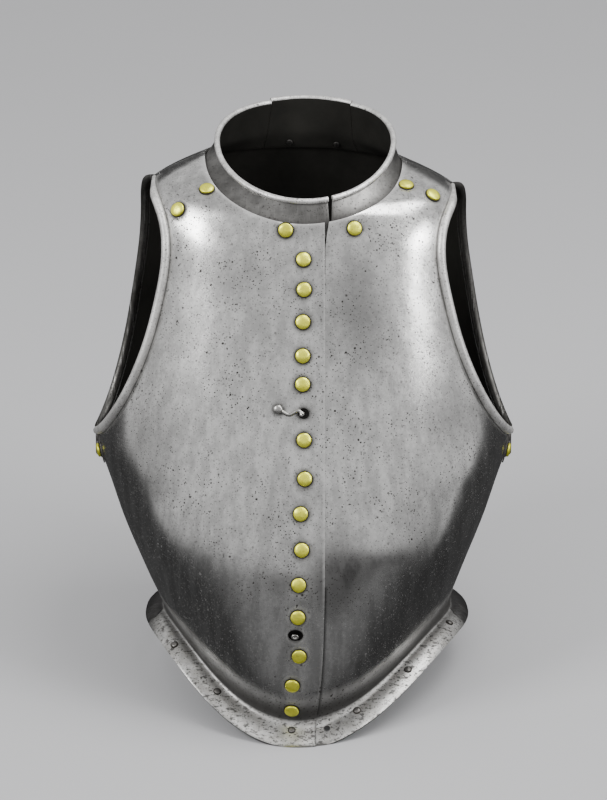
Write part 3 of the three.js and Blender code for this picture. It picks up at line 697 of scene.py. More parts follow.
def dome(name, radius, height):
    head = cylinder(name, radius, HEAD_LIFT, HEAD_LIFT + height * WALL_SHARE, 40)
    bpy.ops.object.mode_set(mode="EDIT")
    bpy.ops.mesh.select_mode(type="FACE")
    bpy.ops.mesh.select_all(action="DESELECT")
    bpy.ops.object.mode_set(mode="OBJECT")
    top = max(head.data.polygons, key=lambda face: face.center.z)
    top.select = True
    bpy.ops.object.mode_set(mode="EDIT")
    for share, rise in DOME_STEPS:
        bpy.ops.mesh.inset(thickness=share * radius * MM, depth=rise * height * MM)
    bpy.ops.object.mode_set(mode="OBJECT")
    crown = head.modifiers.new("crown", "BEVEL")
    crown.width = CROWN_BEVEL * height * MM
    crown.segments = 3
    crown.limit_method = "ANGLE"
    crown.angle_limit = math.radians(20)
    apply_all(head)
    smooth(head, 60)
    return head


cap_model = dome("cap_model", CAP_RADIUS, CAP_HEIGHT)
# Dark discs, a little wider than the heads, are painted shade round each head's foot.
washer_model = disc("washer_model", CAP_RADIUS + 0.75, -SHADE_DISC_SINK, HEAD_LIFT)
small_model = dome("small_model", SMALL_RADIUS, SMALL_HEIGHT)
small_washer_model = disc("small_washer_model", SMALL_RADIUS + 0.7, -SHADE_DISC_SINK, HEAD_LIFT)
print("a cap is", 2 * CAP_RADIUS, "mm across")

# %% [markdown]
# ## Where the rivets sit
# Fourteen caps run down the front at slightly uneven steps, as a smith marks them by eye.
# Others hold the collar, the shoulders, the nape and the hinges, and small steel heads sit
# in the flange, where a row of skirt plates once hung.
# %% Rivet spots
FRONT_CAPS = [  # across, height
    (0, 402.7), (0.4, 379.3), (-0.5, 354), (-0.6, 327.4), (-0.7, 305.1), (0.4, 261.4), (1, 231),
    (-2.3, 203.6), (-1.5, 175.2), (-3.9, 147.3), (-4.5, 120.7), (-3.5, 87.2), (-9.1, 60.5),
    (-9.6, 35.9),
]
COLLAR_GRIP, PLATE_GRIP, TAIL_OUT, LEAF_LIFT = 4.3, 2, 1.0, 1.5
OTHER_CAPS = {  # angle, level, lift, grip
    "collar_rivet_right": (-9.6, 12.19, 0, COLLAR_GRIP),
    "collar_rivet_left": (26.5, 11.59, 0, COLLAR_GRIP),
    "neck_rivet_right": (-54.7, 12.56, 0, COLLAR_GRIP),
    "neck_rivet_left": (62.7, 12.65, 0, COLLAR_GRIP),
    "shoulder_rivet_right": (-58.9, 10.82, 0, PLATE_GRIP),
    "shoulder_rivet_left": (66.4, 11.56, 0, PLATE_GRIP),
    "hinge_rivet_right": (-84.5, 5.6, LEAF_LIFT, PLATE_GRIP),
    "hinge_rivet_left": (84.5, 5.6, LEAF_LIFT, PLATE_GRIP),
    "nape_rivet_right": (-172, 12.6, 0, COLLAR_GRIP),
    "nape_rivet_left": (160, 12.6, 0, COLLAR_GRIP),
}
FLANGE_RIVETS = {
    "flange_rivet_1": (-54.8, -1.9), "flange_rivet_2": (-30.8, -1.4), "flange_rivet_3": (-2.2, -1.1),
    "flange_rivet_4": (20.4, -1.15), "flange_rivet_5": (41.3, -1.6), "flange_rivet_6": (69.6, -1.5),
}
HINGE_BACK_RIVETS = {"hinge_back_rivet_right": (-99.5, 5.6), "hinge_back_rivet_left": (99.5, 5.6)}
bodies = frame["record"]["behaviour"]["bodies"]
node_body = {node: body for body, nodes in bodies.items() for node in nodes}
pieces, cap_parts = {}, {}


def copy_of(model, name, matrix):
    made = model.copy()
    made.data = model.data.copy()
    made.name = made.data.name = name
    made.data.transform(matrix)
    bpy.context.scene.collection.objects.link(made)
    return made


def stand_for(piece, node, finish):
    pieces[piece.name] = (piece, finish)
    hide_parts(node)
    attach(piece, node_body[node])


def rivet(name, node, model, spot, lift, grip):
    """A head on a dark disc of painted shade, with a clenched tail inside when grip isn't 0."""
    head = copy_of(model, name, plate_frame(*spot, lift))
    is_cap = model is cap_model
    ring = washer_model if is_cap else small_washer_model
    # The dark disc under the head is painted shade.
    cap_parts[name] = [copy_of(ring, "washer", plate_frame(*spot, lift))]
    if grip:
        inside = plate_frame(*spot, -grip - TAIL_OUT) @ Matrix.Rotation(math.pi, 4, "X")
        cap_parts[name].append(copy_of(small_model, "tail", inside))
    finish, slot = ("brass", "brass") if is_cap else ("dark", "fittings")
    stand_for(head, node, finish)


for i, (x, height) in enumerate(FRONT_CAPS, 1):
    rivet(f"cap_{i:02d}", f"button_{i:02d}", cap_model, find_on_front(x, height), 0, 0)
for node, (degrees, level, lift, grip) in OTHER_CAPS.items():
    rivet(node.replace("rivet", "cap"), node, cap_model, (degrees, level), lift, grip)
for node, spot in {**FLANGE_RIVETS, **HINGE_BACK_RIVETS}.items():
    lift = LEAF_LIFT if node in HINGE_BACK_RIVETS else 0
    grip = 0 if node == "flange_rivet_3" else PLATE_GRIP
    rivet(node.replace("rivet", "head"), node, small_model, spot, lift, grip)
print(len(pieces), "rivets placed")

# %% [markdown]
# ## The swivel hook and its studs
# One small hook keeps the lapped halves shut: its eye turns under a round head, and its
# wavy arm lays its nose in the hole over a stud on the lap. A curve with a round section
# follows the arm and gets thicker at the nose.
# %% Hook, pivot head and studs
HOOK_PIVOT = (-20.5, 285.5)
HOOK_ARM = [(2.0, -1.0), (4.6, -2.6), (6.8, -3.9), (9.4, -4.4),
            (12.4, -3.1), (15.6, -1.5), (18.0, -2.1), (19.4, -4.2)]
ARM_RADIUS, ARM_LIFT = 1.35, 1.4
ARM_SHARE, NOSE_SHARE = 1.1, 1.9
EYE_RADIUS, EYE_LOW, EYE_HIGH, EYE_ROUND = 3.3, 0.4, 1.7, 0.3 * MM
PIVOT_LIFT, PIVOT_SHRINK = 1.8, (0.6, 0.6, 0.85, 1)
UPPER_STUD, LOWER_STUD, LOWER_STUD_WIDE = (-1.6, 282.1), (-7.0, 103.6), 1.35
RING_RADIUS, RING_WIRE, RING_DEPTH = 1.55, 0.8, 1.3
SHANK_RADIUS, SHANK_LOW, SHANK_HIGH = 2.0, -2.4, -1.5

curve = new_curve("arm", ARM_RADIUS, 4)
line = curve.splines.new("BEZIER")
line.bezier_points.add(len(HOOK_ARM) - 1)
for point, (x, y) in zip(line.bezier_points, HOOK_ARM):
    point.co = (x * MM, y * MM, ARM_LIFT * MM)
    point.handle_left_type = point.handle_right_type = "AUTO"
    point.radius = ARM_SHARE
line.bezier_points[-1].radius = NOSE_SHARE
arm = as_mesh(curve)
eye = disc("eye", EYE_RADIUS, EYE_LOW, EYE_HIGH)
round_edges(eye, EYE_ROUND, 60)
hook = join(arm, eye)
hook.name = "hook"
smooth(hook, 50)
pivot_spot = find_on_front(*HOOK_PIVOT)
hook.data.transform(plate_frame(*pivot_spot))
stand_for(hook, "swivel_hook", "bright")

shrink = Matrix.Diagonal(PIVOT_SHRINK)
pivot = copy_of(cap_model, "hook_head", plate_frame(*pivot_spot, PIVOT_LIFT) @ shrink)
stand_for(pivot, "hook_rivet", "bright")


def stud(name, node, spot, wide):
    bpy.ops.object.select_all(action="DESELECT")
    bpy.ops.mesh.primitive_torus_add(
        major_radius=RING_RADIUS * MM, minor_radius=RING_WIRE * MM, major_segments=32,
        minor_segments=14, location=(0, 0, -RING_DEPTH * MM))
    tip = bpy.context.active_object
    bpy.ops.object.transform_apply(location=True, rotation=True, scale=True)
    shank = disc("shank", SHANK_RADIUS, SHANK_LOW, SHANK_HIGH)
    made = join(tip, shank)
    made.name = name
    made.data.transform(plate_frame(*spot) @ Matrix.Diagonal((wide, 1, 1, 1)))
    smooth(made, 50)
    stand_for(made, node, "bright")


stud("upper_stud", "stud_upper", find_on_front(*UPPER_STUD), 1.0)
stud("lower_stud", "stud_lower", find_on_front(*LOWER_STUD), LOWER_STUD_WIDE)
print("the hook reaches", HOOK_ARM[-1][0], "mm")

# %% [markdown]
# ## Hinges
# The leaves and knuckles under the arms are exact in the frame, down to the clearance round
# each pin. Their meshes are copied, their doubled corners merged, and their edges filed with
# a bevel, so that they look forged and not cut from card.
# %% Hinges from the frame
HINGE_NODES = [f"hinge_{part}_{side}" for part in ("front", "back", "pin")
               for side in ("right", "left")]
HINGE_ROUND, DOUBLES = 0.15 * MM, 1e-6
for node in HINGE_NODES:
    leaf = frame["nodes"][node].copy()
    leaf.data = leaf.data.copy()
    leaf.parent = None
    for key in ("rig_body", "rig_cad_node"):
        del leaf[key]
    leaf.name = leaf.data.name = node.replace("hinge", "forged_hinge")
    bpy.context.scene.collection.objects.link(leaf)
    pick(leaf)
    bpy.ops.object.mode_set(mode="EDIT")
    bpy.ops.mesh.select_all(action="SELECT")
    bpy.ops.mesh.remove_doubles(threshold=DOUBLES)
    bpy.ops.object.mode_set(mode="OBJECT")
    round_edges(leaf, HINGE_ROUND, 35)
    smooth(leaf, 50)
    stand_for(leaf, node, "dark")
print(len(HINGE_NODES), "hinge parts")

# %% [markdown]
# ## Finish the plates
# The rolls join their plates, the seams get their filed edge, and what would hang below the
# level it stands on is pressed flat, as the weight of the cuirass has worn it.
# %% Join, file and smooth the plates
COLLAR_ROUND = 0.3 * MM
PLATES = {"right_half": (right_plate, "front_right"), "left_half": (left_plate, "front_left"),
          "back_half": (back_plate, "backplate")}
for name, (plate, node) in PLATES.items():
    round_edges(plate)
    join_roll(plate, rolls[name])
    smooth(plate)
    stand_for(plate, node, "plate")
for name, (strip, rim_bar) in collars.items():
    round_edges(strip, COLLAR_ROUND)
    join_roll(strip, [rim_bar])
    smooth(strip)
    side, _ = name.split("_")
    stand_for(strip, "collar_" + side, "collar")
for piece, _ in pieces.values():
    move_points(piece, np.maximum(positions(piece), (-np.inf, -np.inf, 0)))
for model in (cap_model, washer_model, small_model, small_washer_model):
    bpy.data.objects.remove(model)
print(len(pieces), "pieces on the frame")

# %% [markdown]
# ## Where shade is painted
# Open steel gets no paint, but the bend at the waist, a band just above it, the grooves beside the
# rolls, the foot of the collar, the ring round each cap and hole and the lines along the centre seam
# get painted shade. Each plate stores how close every point is to such a place in an attribute, which
# its material reads. A second attribute marks a painted highlight along the neck edges and high on the
# right half's seam edge.
# %% Paint shade and highlight into attributes
# How far each painted shade and painted highlight reaches, in mm.
REACH = {name: reach * MM for name, reach in {
    "ring": 2.4, "groove": 1.6, "foot": 6, "waist": 24, "crease": 2.2, "neck": 1.6,
    "bright_seam": 0.7, "dark_seam": 1.5, "left_seam": 1.2}.items()}
# Radii of the rings of painted shade round the caps, the hook's pivot and the holes.
CAP_RING = CAP_RADIUS + 0.6
OTHER_RINGS = (HOOK_PIVOT, 3.8), (UPPER_HOLE, 4.6), (LOWER_HOLE, 5.4)
# Where along the right half's seam the painted highlight gives way to a painted shadow, and how strong
# each is.
SEAM_PAINTED_LIGHT = {"low": 60, "high": 120, "bright": 0.5, "dark": 0.9, "left": 0.7}
GROOVE_SHADE = 0.7


def in_worn(piece):
    return (positions(piece) - stand_origin) @ turn_to_stand / MM


def ring_round(spot, radius):
    turn = np.linspace(0, 2 * math.pi, 24, endpoint=False)
    place = plate_frame(*spot)
    return [place @ Vector((radius * MM * math.cos(t), radius * MM * math.sin(t), 0)) for t in turn]


def distance_to(points):
    tree = KDTree(len(points))
    for i, point in enumerate(points):
        tree.insert(point, i)
    tree.balance()
    return lambda piece: np.array([tree.find(point)[2] for point in positions(piece)])


# Rings round the caps and holes, where painted shade is laid.
recess_points = []
for cap in FRONT_CAPS:
    recess_points += ring_round(find_on_front(*cap), CAP_RING)
for hole, radius in OTHER_RINGS:
    recess_points += ring_round(find_on_front(*hole), radius)
for degrees, level, *_ in OTHER_CAPS.values():
    recess_points += ring_round((degrees, level), CAP_RING)

# The grooves beside the rolls, where painted shade is laid.
groove_points = []
arm_levels = np.linspace(ARM["bottom"] + 0.01, ARM["top"] - 0.01, 400)
inset = ROLL_INSET * gap_angle(arm_levels)
for line in (front_side(arm_levels) - inset, back_side(arm_levels) + inset):
    for side in (-1, 1):
        groove_points += list(to_stand(surface(side * line, arm_levels)))

circle = np.linspace(-180, 180, 720)
seam_levels = np.linspace(EDGE_LEVEL, NECK_LEVEL, 600)
seam_degrees = angle_at(centre_seam(seam_levels), seam_levels)
to_recess = distance_to(recess_points)
to_groove = distance_to(groove_points)
to_waist = distance_to(to_stand(surface(circle, 0.0)))
to_neck = distance_to(to_stand(surface(circle, NECK_LEVEL)))
to_seam = distance_to(to_stand(surface(seam_degrees, seam_levels)))


def flange_of(piece):
    share = np.zeros(len(piece.data.vertices), np.float32)
    piece.data.attributes["flange"].data.foreach_get("value", share)
    return share


def paint_plate(piece, painted_shade):
    waist, seam = to_waist(piece), to_seam(piece)
    # A band above the waist and the crease itself get painted shade.
    above = np.exp(-(waist / REACH["waist"]) ** 4) * (1 - flange_of(piece))
    painted_shade = np.maximum(np.maximum(painted_shade, above), fading(waist, REACH["crease"]))
    # A painted highlight along the neck edge of each plate.
    bare = fading(to_neck(piece), REACH["neck"])
    if piece.name == "right_half":
        # Along the right half's seam: a painted highlight high up, a painted shadow low down.
        high = smooth_step(in_worn(piece)[:, 2], SEAM_PAINTED_LIGHT["low"], SEAM_PAINTED_LIGHT["high"])
        bright = SEAM_PAINTED_LIGHT["bright"] * high * fading(seam, REACH["bright_seam"])
        bare = np.maximum(bare, bright)
        seam_shadow = SEAM_PAINTED_LIGHT["dark"] * (1 - high) * fading(seam, REACH["dark_seam"])
    else:
        # Along the left half's seam, a painted shadow.
        seam_shadow = SEAM_PAINTED_LIGHT["left"] * fading(seam, REACH["left_seam"])
    store(piece, "bare", bare)
    return np.maximum(painted_shade, seam_shadow)


def paint_recess_shade(piece, finish):
    # Painted shade in a ring round each cap and hole, and in the grooves beside the rolls.
    painted_shade = fading(to_recess(piece), REACH["ring"])
    painted_shade = np.maximum(painted_shade, GROOVE_SHADE * fading(to_groove(piece), REACH["groove"]))
    # The collar gets painted shade along its foot, where it meets the plate.
    if finish == "collar":
        painted_shade = np.maximum(painted_shade, fading(to_neck(piece), REACH["foot"]))
    else:
        painted_shade = paint_plate(piece, painted_shade)
    store(piece, "recess", painted_shade)


# %% [markdown]
# ## Painted dark reflections on the belly
# Polished steel is not one grey. A few broad, soft dark patches on the front are painted reflections.
# They are laid as gentle spots over the height and width of the front, so that they stay put from
# every side. The back has one even tone of patina, which is darker on its flange with painted shade.
# %% Paint the patina and painted shade attribute
# Each spot is a painted dark reflection.
PAINTED_DARK_REFLECTIONS = [  # across, height, reach across, reach up, strength
    (26, 152, 17, 23, 1.5), (47, 160, 17, 12, 1.1), (69, 164, 15, 6, 0.7),
    (98, 160, 26, 50, 0.3), (40, 372, 20, 34, 0.5), (56, 345, 18, 30, 0.3),
    (-20, 150, 20, 9, 0.5), (-128, 395, 24, 20, 0.3), (100, 335, 20, 22, 0.3),
    (-95, 345, 26, 26, 0.25), (120, 270, 26, 22, 0.4), (-125, 250, 22, 30, 0.3),
    (-60, 390, 30, 20, 0.25),
]
# How fast the painted reflections build up, the back's even patina, and the painted shade on the back
# flange.
PAINTED_REFLECTION_BUILD, BACK_PATINA, BACK_FLANGE_SHADE = 1.3, 0.35, 0.9


def paint_patina_and_shade(piece):
    x, y, z = in_worn(piece).T
    total = np.zeros(len(x))
    for across, height, wide, tall, strength in PAINTED_DARK_REFLECTIONS:
        total += strength * fading(x - across, wide) * fading(z - height, tall)
    # The front gets the painted dark reflections, the back an even patina.
    total = np.where(y < RING_CENTRE, 1 - np.exp(-PAINTED_REFLECTION_BUILD * total), BACK_PATINA)
    if piece.name == "back_half":
        # Painted shade darkens the back flange.
        total = total + BACK_FLANGE_SHADE * flange_of(piece)
    store(piece, "patina", total)


for piece, finish in pieces.values():
    if finish in ("plate", "collar"):
        paint_recess_shade(piece, finish)
        paint_patina_and_shade(piece)
print(len(recess_points), "points in the recesses")

# %% [markdown]
# ## Node helpers
# Materials are built in code from small steps. These helpers place a node, link or set its
# inputs, and return the socket that the next step needs.
# %% Helpers for materials


def add(tree, kind, values=None, **settings):
    made = tree.nodes.new("ShaderNode" + kind)
    for key, value in settings.items():
        setattr(made, key, value)
    for key, value in (values or {}).items():
        if isinstance(value, bpy.types.NodeSocket):
            tree.links.new(value, made.inputs[key])
        else:
            made.inputs[key].default_value = value
    return made


def ramp(tree, value, start, end, low=0.0, high=1.0):
    limits = {"Value": value, "From Min": start, "From Max": end, "To Min": low, "To Max": high}
    return add(tree, "MapRange", limits, interpolation_type="SMOOTHSTEP").outputs[0]


def calc(tree, operation, a, b, clamp=False):
    return add(tree, "Math", {0: a, 1: b}, operation=operation, use_clamp=clamp).outputs[0]


def times(tree, a, b, clamp=False):
    return calc(tree, "MULTIPLY", a, b, clamp)


def plus(tree, a, b, clamp=False):
    return calc(tree, "ADD", a, b, clamp)


def largest(tree, first, *others):
    for other in others:
        first = calc(tree, "MAXIMUM", first, other)
    return first


def blend(tree, factor, a, b, how="MIX"):
    """Mix two colours. A colour given as numbers gets its alpha here."""
    a, b = [(*each, 1) if isinstance(each, tuple) else each for each in (a, b)]
    return add(tree, "Mix", {0: factor, 6: a, 7: b}, data_type="RGBA", blend_type=how).outputs[2]


def noise(tree, vector, scale, detail=4.0, rough=0.55, output=0):
    inputs = {"Vector": vector, "Scale": scale, "Detail": detail, "Roughness": rough}
    return add(tree, "TexNoise", inputs).outputs[output]


def stretched(tree, vector, turn, scale):
    return add(tree, "Mapping", {"Vector": vector, "Rotation": turn, "Scale": scale}).outputs[0]


def new_group(name, inputs, outputs):
    tree = bpy.data.node_groups.new(name, "ShaderNodeTree")
    for label, kind in inputs.items():
        tree.interface.new_socket(label, in_out="INPUT", socket_type="NodeSocket" + kind)
    for label in outputs:
        tree.interface.new_socket(label, in_out="OUTPUT", socket_type="NodeSocketFloat")
    return tree, tree.nodes.new("NodeGroupInput"), tree.nodes.new("NodeGroupOutput")


# %% [markdown]
# ## Pits, specks and scratches
# Rust has eaten small dark pits into the steel, in clusters, and cleaning has left hair
# thin scratches. Cells of a Voronoi texture make round pits, and noise stretched along one
# direction makes scratches. Every steel material uses this group, each at its own strength.
# %% The wear group
PIT_SIZES = (110, 0.15, 0.42), (230, 0.22, 0.34), (480, 0.33, 0.26)  # cells, size, chance
PIT_WOBBLE = 0.0016
SCRATCH_WAYS = [  # turn, scale
    ((0, 0.35, 0), (1500, 60, 22)), ((0, -0.9, 0.2), (1300, 60, 30)), ((0, 1.45, 0), (1700, 60, 16))]
DEPTHS = {"dents": 0.55, "grit": 0.012, "pits": 0.012, "scratches": 0.004}
wear, wear_in, wear_out = new_group(
    "Steel wear", {"Vector": "Vector", "Pitting": "Float", "Scratches": "Float"},
    ["Pits", "Scratches", "Clouds", "Height"])
place = wear_in.outputs["Vector"]
pit_masks = []
for cell, size, chance in PIT_SIZES:
    shifts = noise(wear, place, cell, 2.0, 0.5, output=1)
    wobble = add(wear, "MixRGB", {0: PIT_WOBBLE, 1: place, 2: shifts})
    cells = add(wear, "TexVoronoi", {"Vector": wobble.outputs[0], "Scale": cell})
    pit = ramp(wear, cells.outputs["Distance"], size, size * 0.45)
    draw = add(wear, "SeparateColor", {0: cells.outputs["Color"]}).outputs[0]
    pit_masks.append(times(wear, pit, ramp(wear, draw, chance, chance + 0.05)))
cluster = ramp(wear, noise(wear, place, 26, 5), 0.42, 0.62, 0.5, 1.0)
pits = times(wear, largest(wear, *pit_masks), cluster)
pits = times(wear, pits, wear_in.outputs["Pitting"], clamp=True)
scratch_masks = []
for turn, scale in SCRATCH_WAYS:
    lines = noise(wear, stretched(wear, place, turn, scale), 1.0, 2)
    scratch_masks.append(ramp(wear, lines, 0.66, 0.72))
scratches = times(wear, largest(wear, *scratch_masks), wear_in.outputs["Scratches"], clamp=True)
clouds = ramp(wear, noise(wear, place, 11, 6, 0.6), 0.35, 0.68)
dents = times(wear, noise(wear, place, 16, 2, 0.4), DEPTHS["dents"])
grit = times(wear, noise(wear, place, 420, 3), DEPTHS["grit"])
height = plus(wear, dents, grit)
height = calc(wear, "SUBTRACT", height, times(wear, pits, DEPTHS["pits"]))
height = calc(wear, "SUBTRACT", height, times(wear, scratches, DEPTHS["scratches"]))
for label, socket in zip(("Pits", "Scratches", "Clouds", "Height"), (pits, scratches, clouds, height)):
    wear.links.new(socket, wear_out.inputs[label])
print(len(wear.nodes), "nodes make the wear")

# %% [markdown]
# ## Steel finishes
# Polished steel is a metal whose colour is nearly neutral and whose roughness is low. Clouds make it
# duller in places, pits are darker and rougher, the recesses get painted shade, also rougher, and
# scratches are brighter. On the plates, dark patches of painted reflection lie on the front, a painted
# highlight runs along the neck and seam edges, and the lap under the right half gets painted shade.
# One function makes the polished plates, the duller collar, the pale rims, the bright hook and the
# dark fittings from a few numbers each.
# %% Steel materials
# Tones: a painted highlight on the edges, painted shade in the recesses and under the lap, and dark
# patches that paint patina, reflections and shade.
PAINTED_HIGHLIGHT_TONE, SCRATCH_STEEL, FLANGE_STEEL = (0.9, 0.89, 0.87), (0.8, 0.79, 0.77), (0.42, 0.41, 0.39)
RECESS_SHADE_TONE, PATINA_AND_SHADE_TONE = (0.03, 0.028, 0.026), (0.08, 0.078, 0.077)
PIT_TONE, UNDER_LAP_SHADE_TONE = (0.025, 0.022, 0.02), (0.012, 0.011, 0.01)
ROUGHER = {"cloud": 0.1, "flange": 0.12, "painted_shade": 0.4, "patina": 0.06, "pit": 0.06}
MATT_SHARE = 0.45


def new_material(name):
    material = bpy.data.materials.new(name)
    material.use_nodes = True
    tree = material.node_tree
    shader = next(n for n in tree.nodes if n.type == "BSDF_PRINCIPLED")
    place = add(tree, "TexCoord").outputs["Object"]
    return material, tree, shader, place


def attribute(tree, name):
    return add(tree, "Attribute", attribute_name=name).outputs["Fac"]


def finish_shader(tree, shader, colour, roughness, height, distance=MM):
    bump = add(tree, "Bump", {"Strength": 1.0, "Distance": distance, "Height": height})
    tree.links.new(colour, shader.inputs["Base Color"])
    tree.links.new(roughness, shader.inputs["Roughness"])
    tree.links.new(bump.outputs[0], shader.inputs["Normal"])


def steel(name, light, dull, rough, pitting, scratching, recess=0.0, dent=1.0, plate=False,
          metal=1.0):
    material, tree, shader, place = new_material(name)
    group = add(tree, "Group", node_tree=wear)
    tree.links.new(place, group.inputs["Vector"])
    group.inputs["Pitting"].default_value = pitting
    group.inputs["Scratches"].default_value = scratching
    pits, scratches = group.outputs["Pits"], group.outputs["Scratches"]
    dullness = group.outputs["Clouds"]
    drawn_out = stretched(tree, place, (0, 0, 0), (1.0, 1.0, 0.22))
    streaks = ramp(tree, noise(tree, drawn_out, 95, 5, 0.6), 0.3, 0.7)
    if plate:
        mottle = ramp(tree, streaks, 0, 1, 0.85, 1.12)
        # This mask holds patina, painted dark reflections and painted shade.
        patina_and_shade = times(tree, attribute(tree, "patina"), mottle, clamp=True)
        dullness = times(tree, dullness, 0.55)
    colour = blend(tree, dullness, light, dull)
    speckle = times(tree, noise(tree, place, 260, 6, 0.75), 0.7)
    grain = ramp(tree, plus(tree, speckle, times(tree, streaks, 0.3)), 0.3, 0.75, 0.74, 1.14)
    grey = add(tree, "CombineColor", {0: grain, 1: grain, 2: grain}).outputs[0]
    colour = blend(tree, 1.0, colour, grey, "MULTIPLY")
    roughness = plus(tree, times(tree, dullness, ROUGHER["cloud"]), rough)
    if plate:
        flange = attribute(tree, "flange")
        worn = ramp(tree, noise(tree, place, 75, 7, 0.7), 0.4, 0.62, 0.35, 1.0)
        colour = blend(tree, times(tree, flange, worn), colour, FLANGE_STEEL)
        roughness = plus(tree, roughness, times(tree, flange, ROUGHER["flange"]))
        flecks = noise(tree, stretched(tree, place, (0.3, 0.5, 0.2), (1.0, 1.6, 2.6)), 210, 5, 0.65)
        flecks = times(tree, ramp(tree, flecks, 0.53, 0.61), flange)
        pits = largest(tree, pits, times(tree, flecks, 0.85))
    colour = blend(tree, scratches, colour, SCRATCH_STEEL)
    matt = pits
    # Painted shade in the recesses, along the seams and above the waist, darker and rougher.
    if recess:
        painted_shade = times(tree, attribute(tree, "recess"), recess, clamp=True)
        colour = blend(tree, painted_shade, colour, RECESS_SHADE_TONE)
        roughness = plus(tree, roughness, times(tree, painted_shade, ROUGHER["painted_shade"]))
        matt = largest(tree, pits, painted_shade)
    # Painted dark reflections, painted shade on the back flange, and the back's even patina.
    if plate:
        colour = blend(tree, patina_and_shade, colour, PATINA_AND_SHADE_TONE)
        roughness = plus(tree, roughness, times(tree, patina_and_shade, ROUGHER["patina"]))
    colour = blend(tree, pits, colour, PIT_TONE)
    # A painted highlight along the neck and seam edges, and painted shade on the lap under the right
    # half.
    if plate:
        colour = blend(tree, attribute(tree, "bare"), colour, PAINTED_HIGHLIGHT_TONE)
        colour = blend(tree, attribute(tree, "hidden"), colour, UNDER_LAP_SHADE_TONE)
    roughness = plus(tree, roughness, times(tree, pits, ROUGHER["pit"]), clamp=True)
    tree.links.new(ramp(tree, matt, 0, 1, metal, MATT_SHARE * metal), shader.inputs["Metallic"])
    finish_shader(tree, shader, colour, roughness, group.outputs["Height"], dent * MM)
    return material


finishes = {
    "plate": steel("polished_steel", (0.74, 0.735, 0.72), (0.48, 0.475, 0.465), 0.2, 1.2, 0.25,
                   recess=0.95, plate=True),
    "collar": steel("collar_steel", (0.23, 0.226, 0.218), (0.1, 0.098, 0.094), 0.34, 1.0, 0.08,
                    recess=0.8),
    "roll": steel("rim_steel", (0.93, 0.92, 0.9), (0.7, 0.69, 0.67), 0.42, 0.8, 0.4, metal=0.78),
    "back_roll": steel("back_rim_steel", (0.2, 0.195, 0.185), (0.06, 0.058, 0.053), 0.4, 1.0, 0.6),
    "bright": steel("hook_steel", (0.62, 0.61, 0.59), (0.35, 0.34, 0.32), 0.28, 0.5, 0.3, dent=0.3),
    "dark": steel("fitting_steel", (0.22, 0.21, 0.2), (0.1, 0.095, 0.09), 0.42, 0.8, 0.5, dent=0.3),
}
print("steel finishes:", ", ".join(finishes))

# %% [markdown]
# ## The inside and the painted shade round the caps
# The inside was never polished. It is left black from the hammer and the fire, with a dull skin of old
# rust, which reads as a rough and nearly black coat. The thin rings under the caps are painted shade
# in the same black.
# %% Black finishes


def blackened(name, colour, tint, rough):
    material, tree, shader, place = new_material(name)
    mottle = ramp(tree, noise(tree, place, 35, 7, 0.65), 0.3, 0.75)
    scale = times(tree, noise(tree, place, 240, 5), 0.15)
    roughness = plus(tree, times(tree, mottle, 0.15), rough)
    finish_shader(tree, shader, blend(tree, mottle, colour, tint), roughness, scale)
    shader.inputs["Specular IOR Level"].default_value = 0.1
    return material


inside = blackened("hammer_black", (0.014, 0.0137, 0.012), (0.022, 0.021, 0.0185), 0.85)
# Near-black painted shade for the discs under the caps.
grime = blackened("grime", (0.02, 0.018, 0.015), (0.04, 0.035, 0.028), 0.55)
print("black finishes:", inside.name, grime.name)

# %% [markdown]
# ## Brass
# The caps are thin yellow brass, greenish where it is clean and browner where it has
# tarnished, and each has its own small dents from the punch that set it.
# %% Brass material
CLEAN_BRASS, DULL_BRASS, BRASS_SPOT = (0.96, 0.97, 0.11), (0.8, 0.77, 0.07), (0.16, 0.13, 0.03)
brass, tree, shader, place = new_material("cap_brass")
patches = ramp(tree, noise(tree, place, 130, 5, 0.6), 0.35, 0.7)
spots = ramp(tree, noise(tree, place, 900, 3), 0.66, 0.74)
colour = blend(tree, spots, blend(tree, patches, CLEAN_BRASS, DULL_BRASS), BRASS_SPOT)
dents = times(tree, noise(tree, place, 170, 2, 0.4), 0.8)
finish_shader(tree, shader, colour, ramp(tree, patches, 0, 1, 0.36, 0.46), dents)
shader.inputs["Metallic"].default_value = 0.85
finishes["brass"] = brass
print("the caps wear", brass.name)

# %% [markdown]
# ## Put the finishes on
# Solidify gave each plate's inner faces the second material slot, so the black inside needs no
# selecting. The dark discs of painted shade and the clenched tails join their caps with slots of their
# own.
# %% Assign materials


def dress(piece, *materials):
    slots = np.zeros(len(piece.data.polygons), np.int32)
    piece.data.polygons.foreach_get("material_index", slots)
    piece.data.materials.clear()
    for material in materials:
        piece.data.materials.append(material)
    piece.data.polygons.foreach_set("material_index", np.minimum(slots, len(materials) - 1))


for name, (piece, finish) in pieces.items():
    if finish in ("plate", "collar"):
        rim = "back_roll" if name == "back_half" else "roll"
        dress(piece, finishes[finish], inside, finishes[rim])
    else:
        dress(piece, finishes[finish])
    for part in cap_parts.get(name, []):
        # The discs under the heads take the black of the painted shade.
        dress(part, grime if part.name.startswith("washer") else finishes["dark"])
    if cap_parts.get(name):
        join(piece, *cap_parts[name])
for holder in holders:
    bpy.data.materials.remove(holder)
print("finishes on", len(pieces), "pieces")

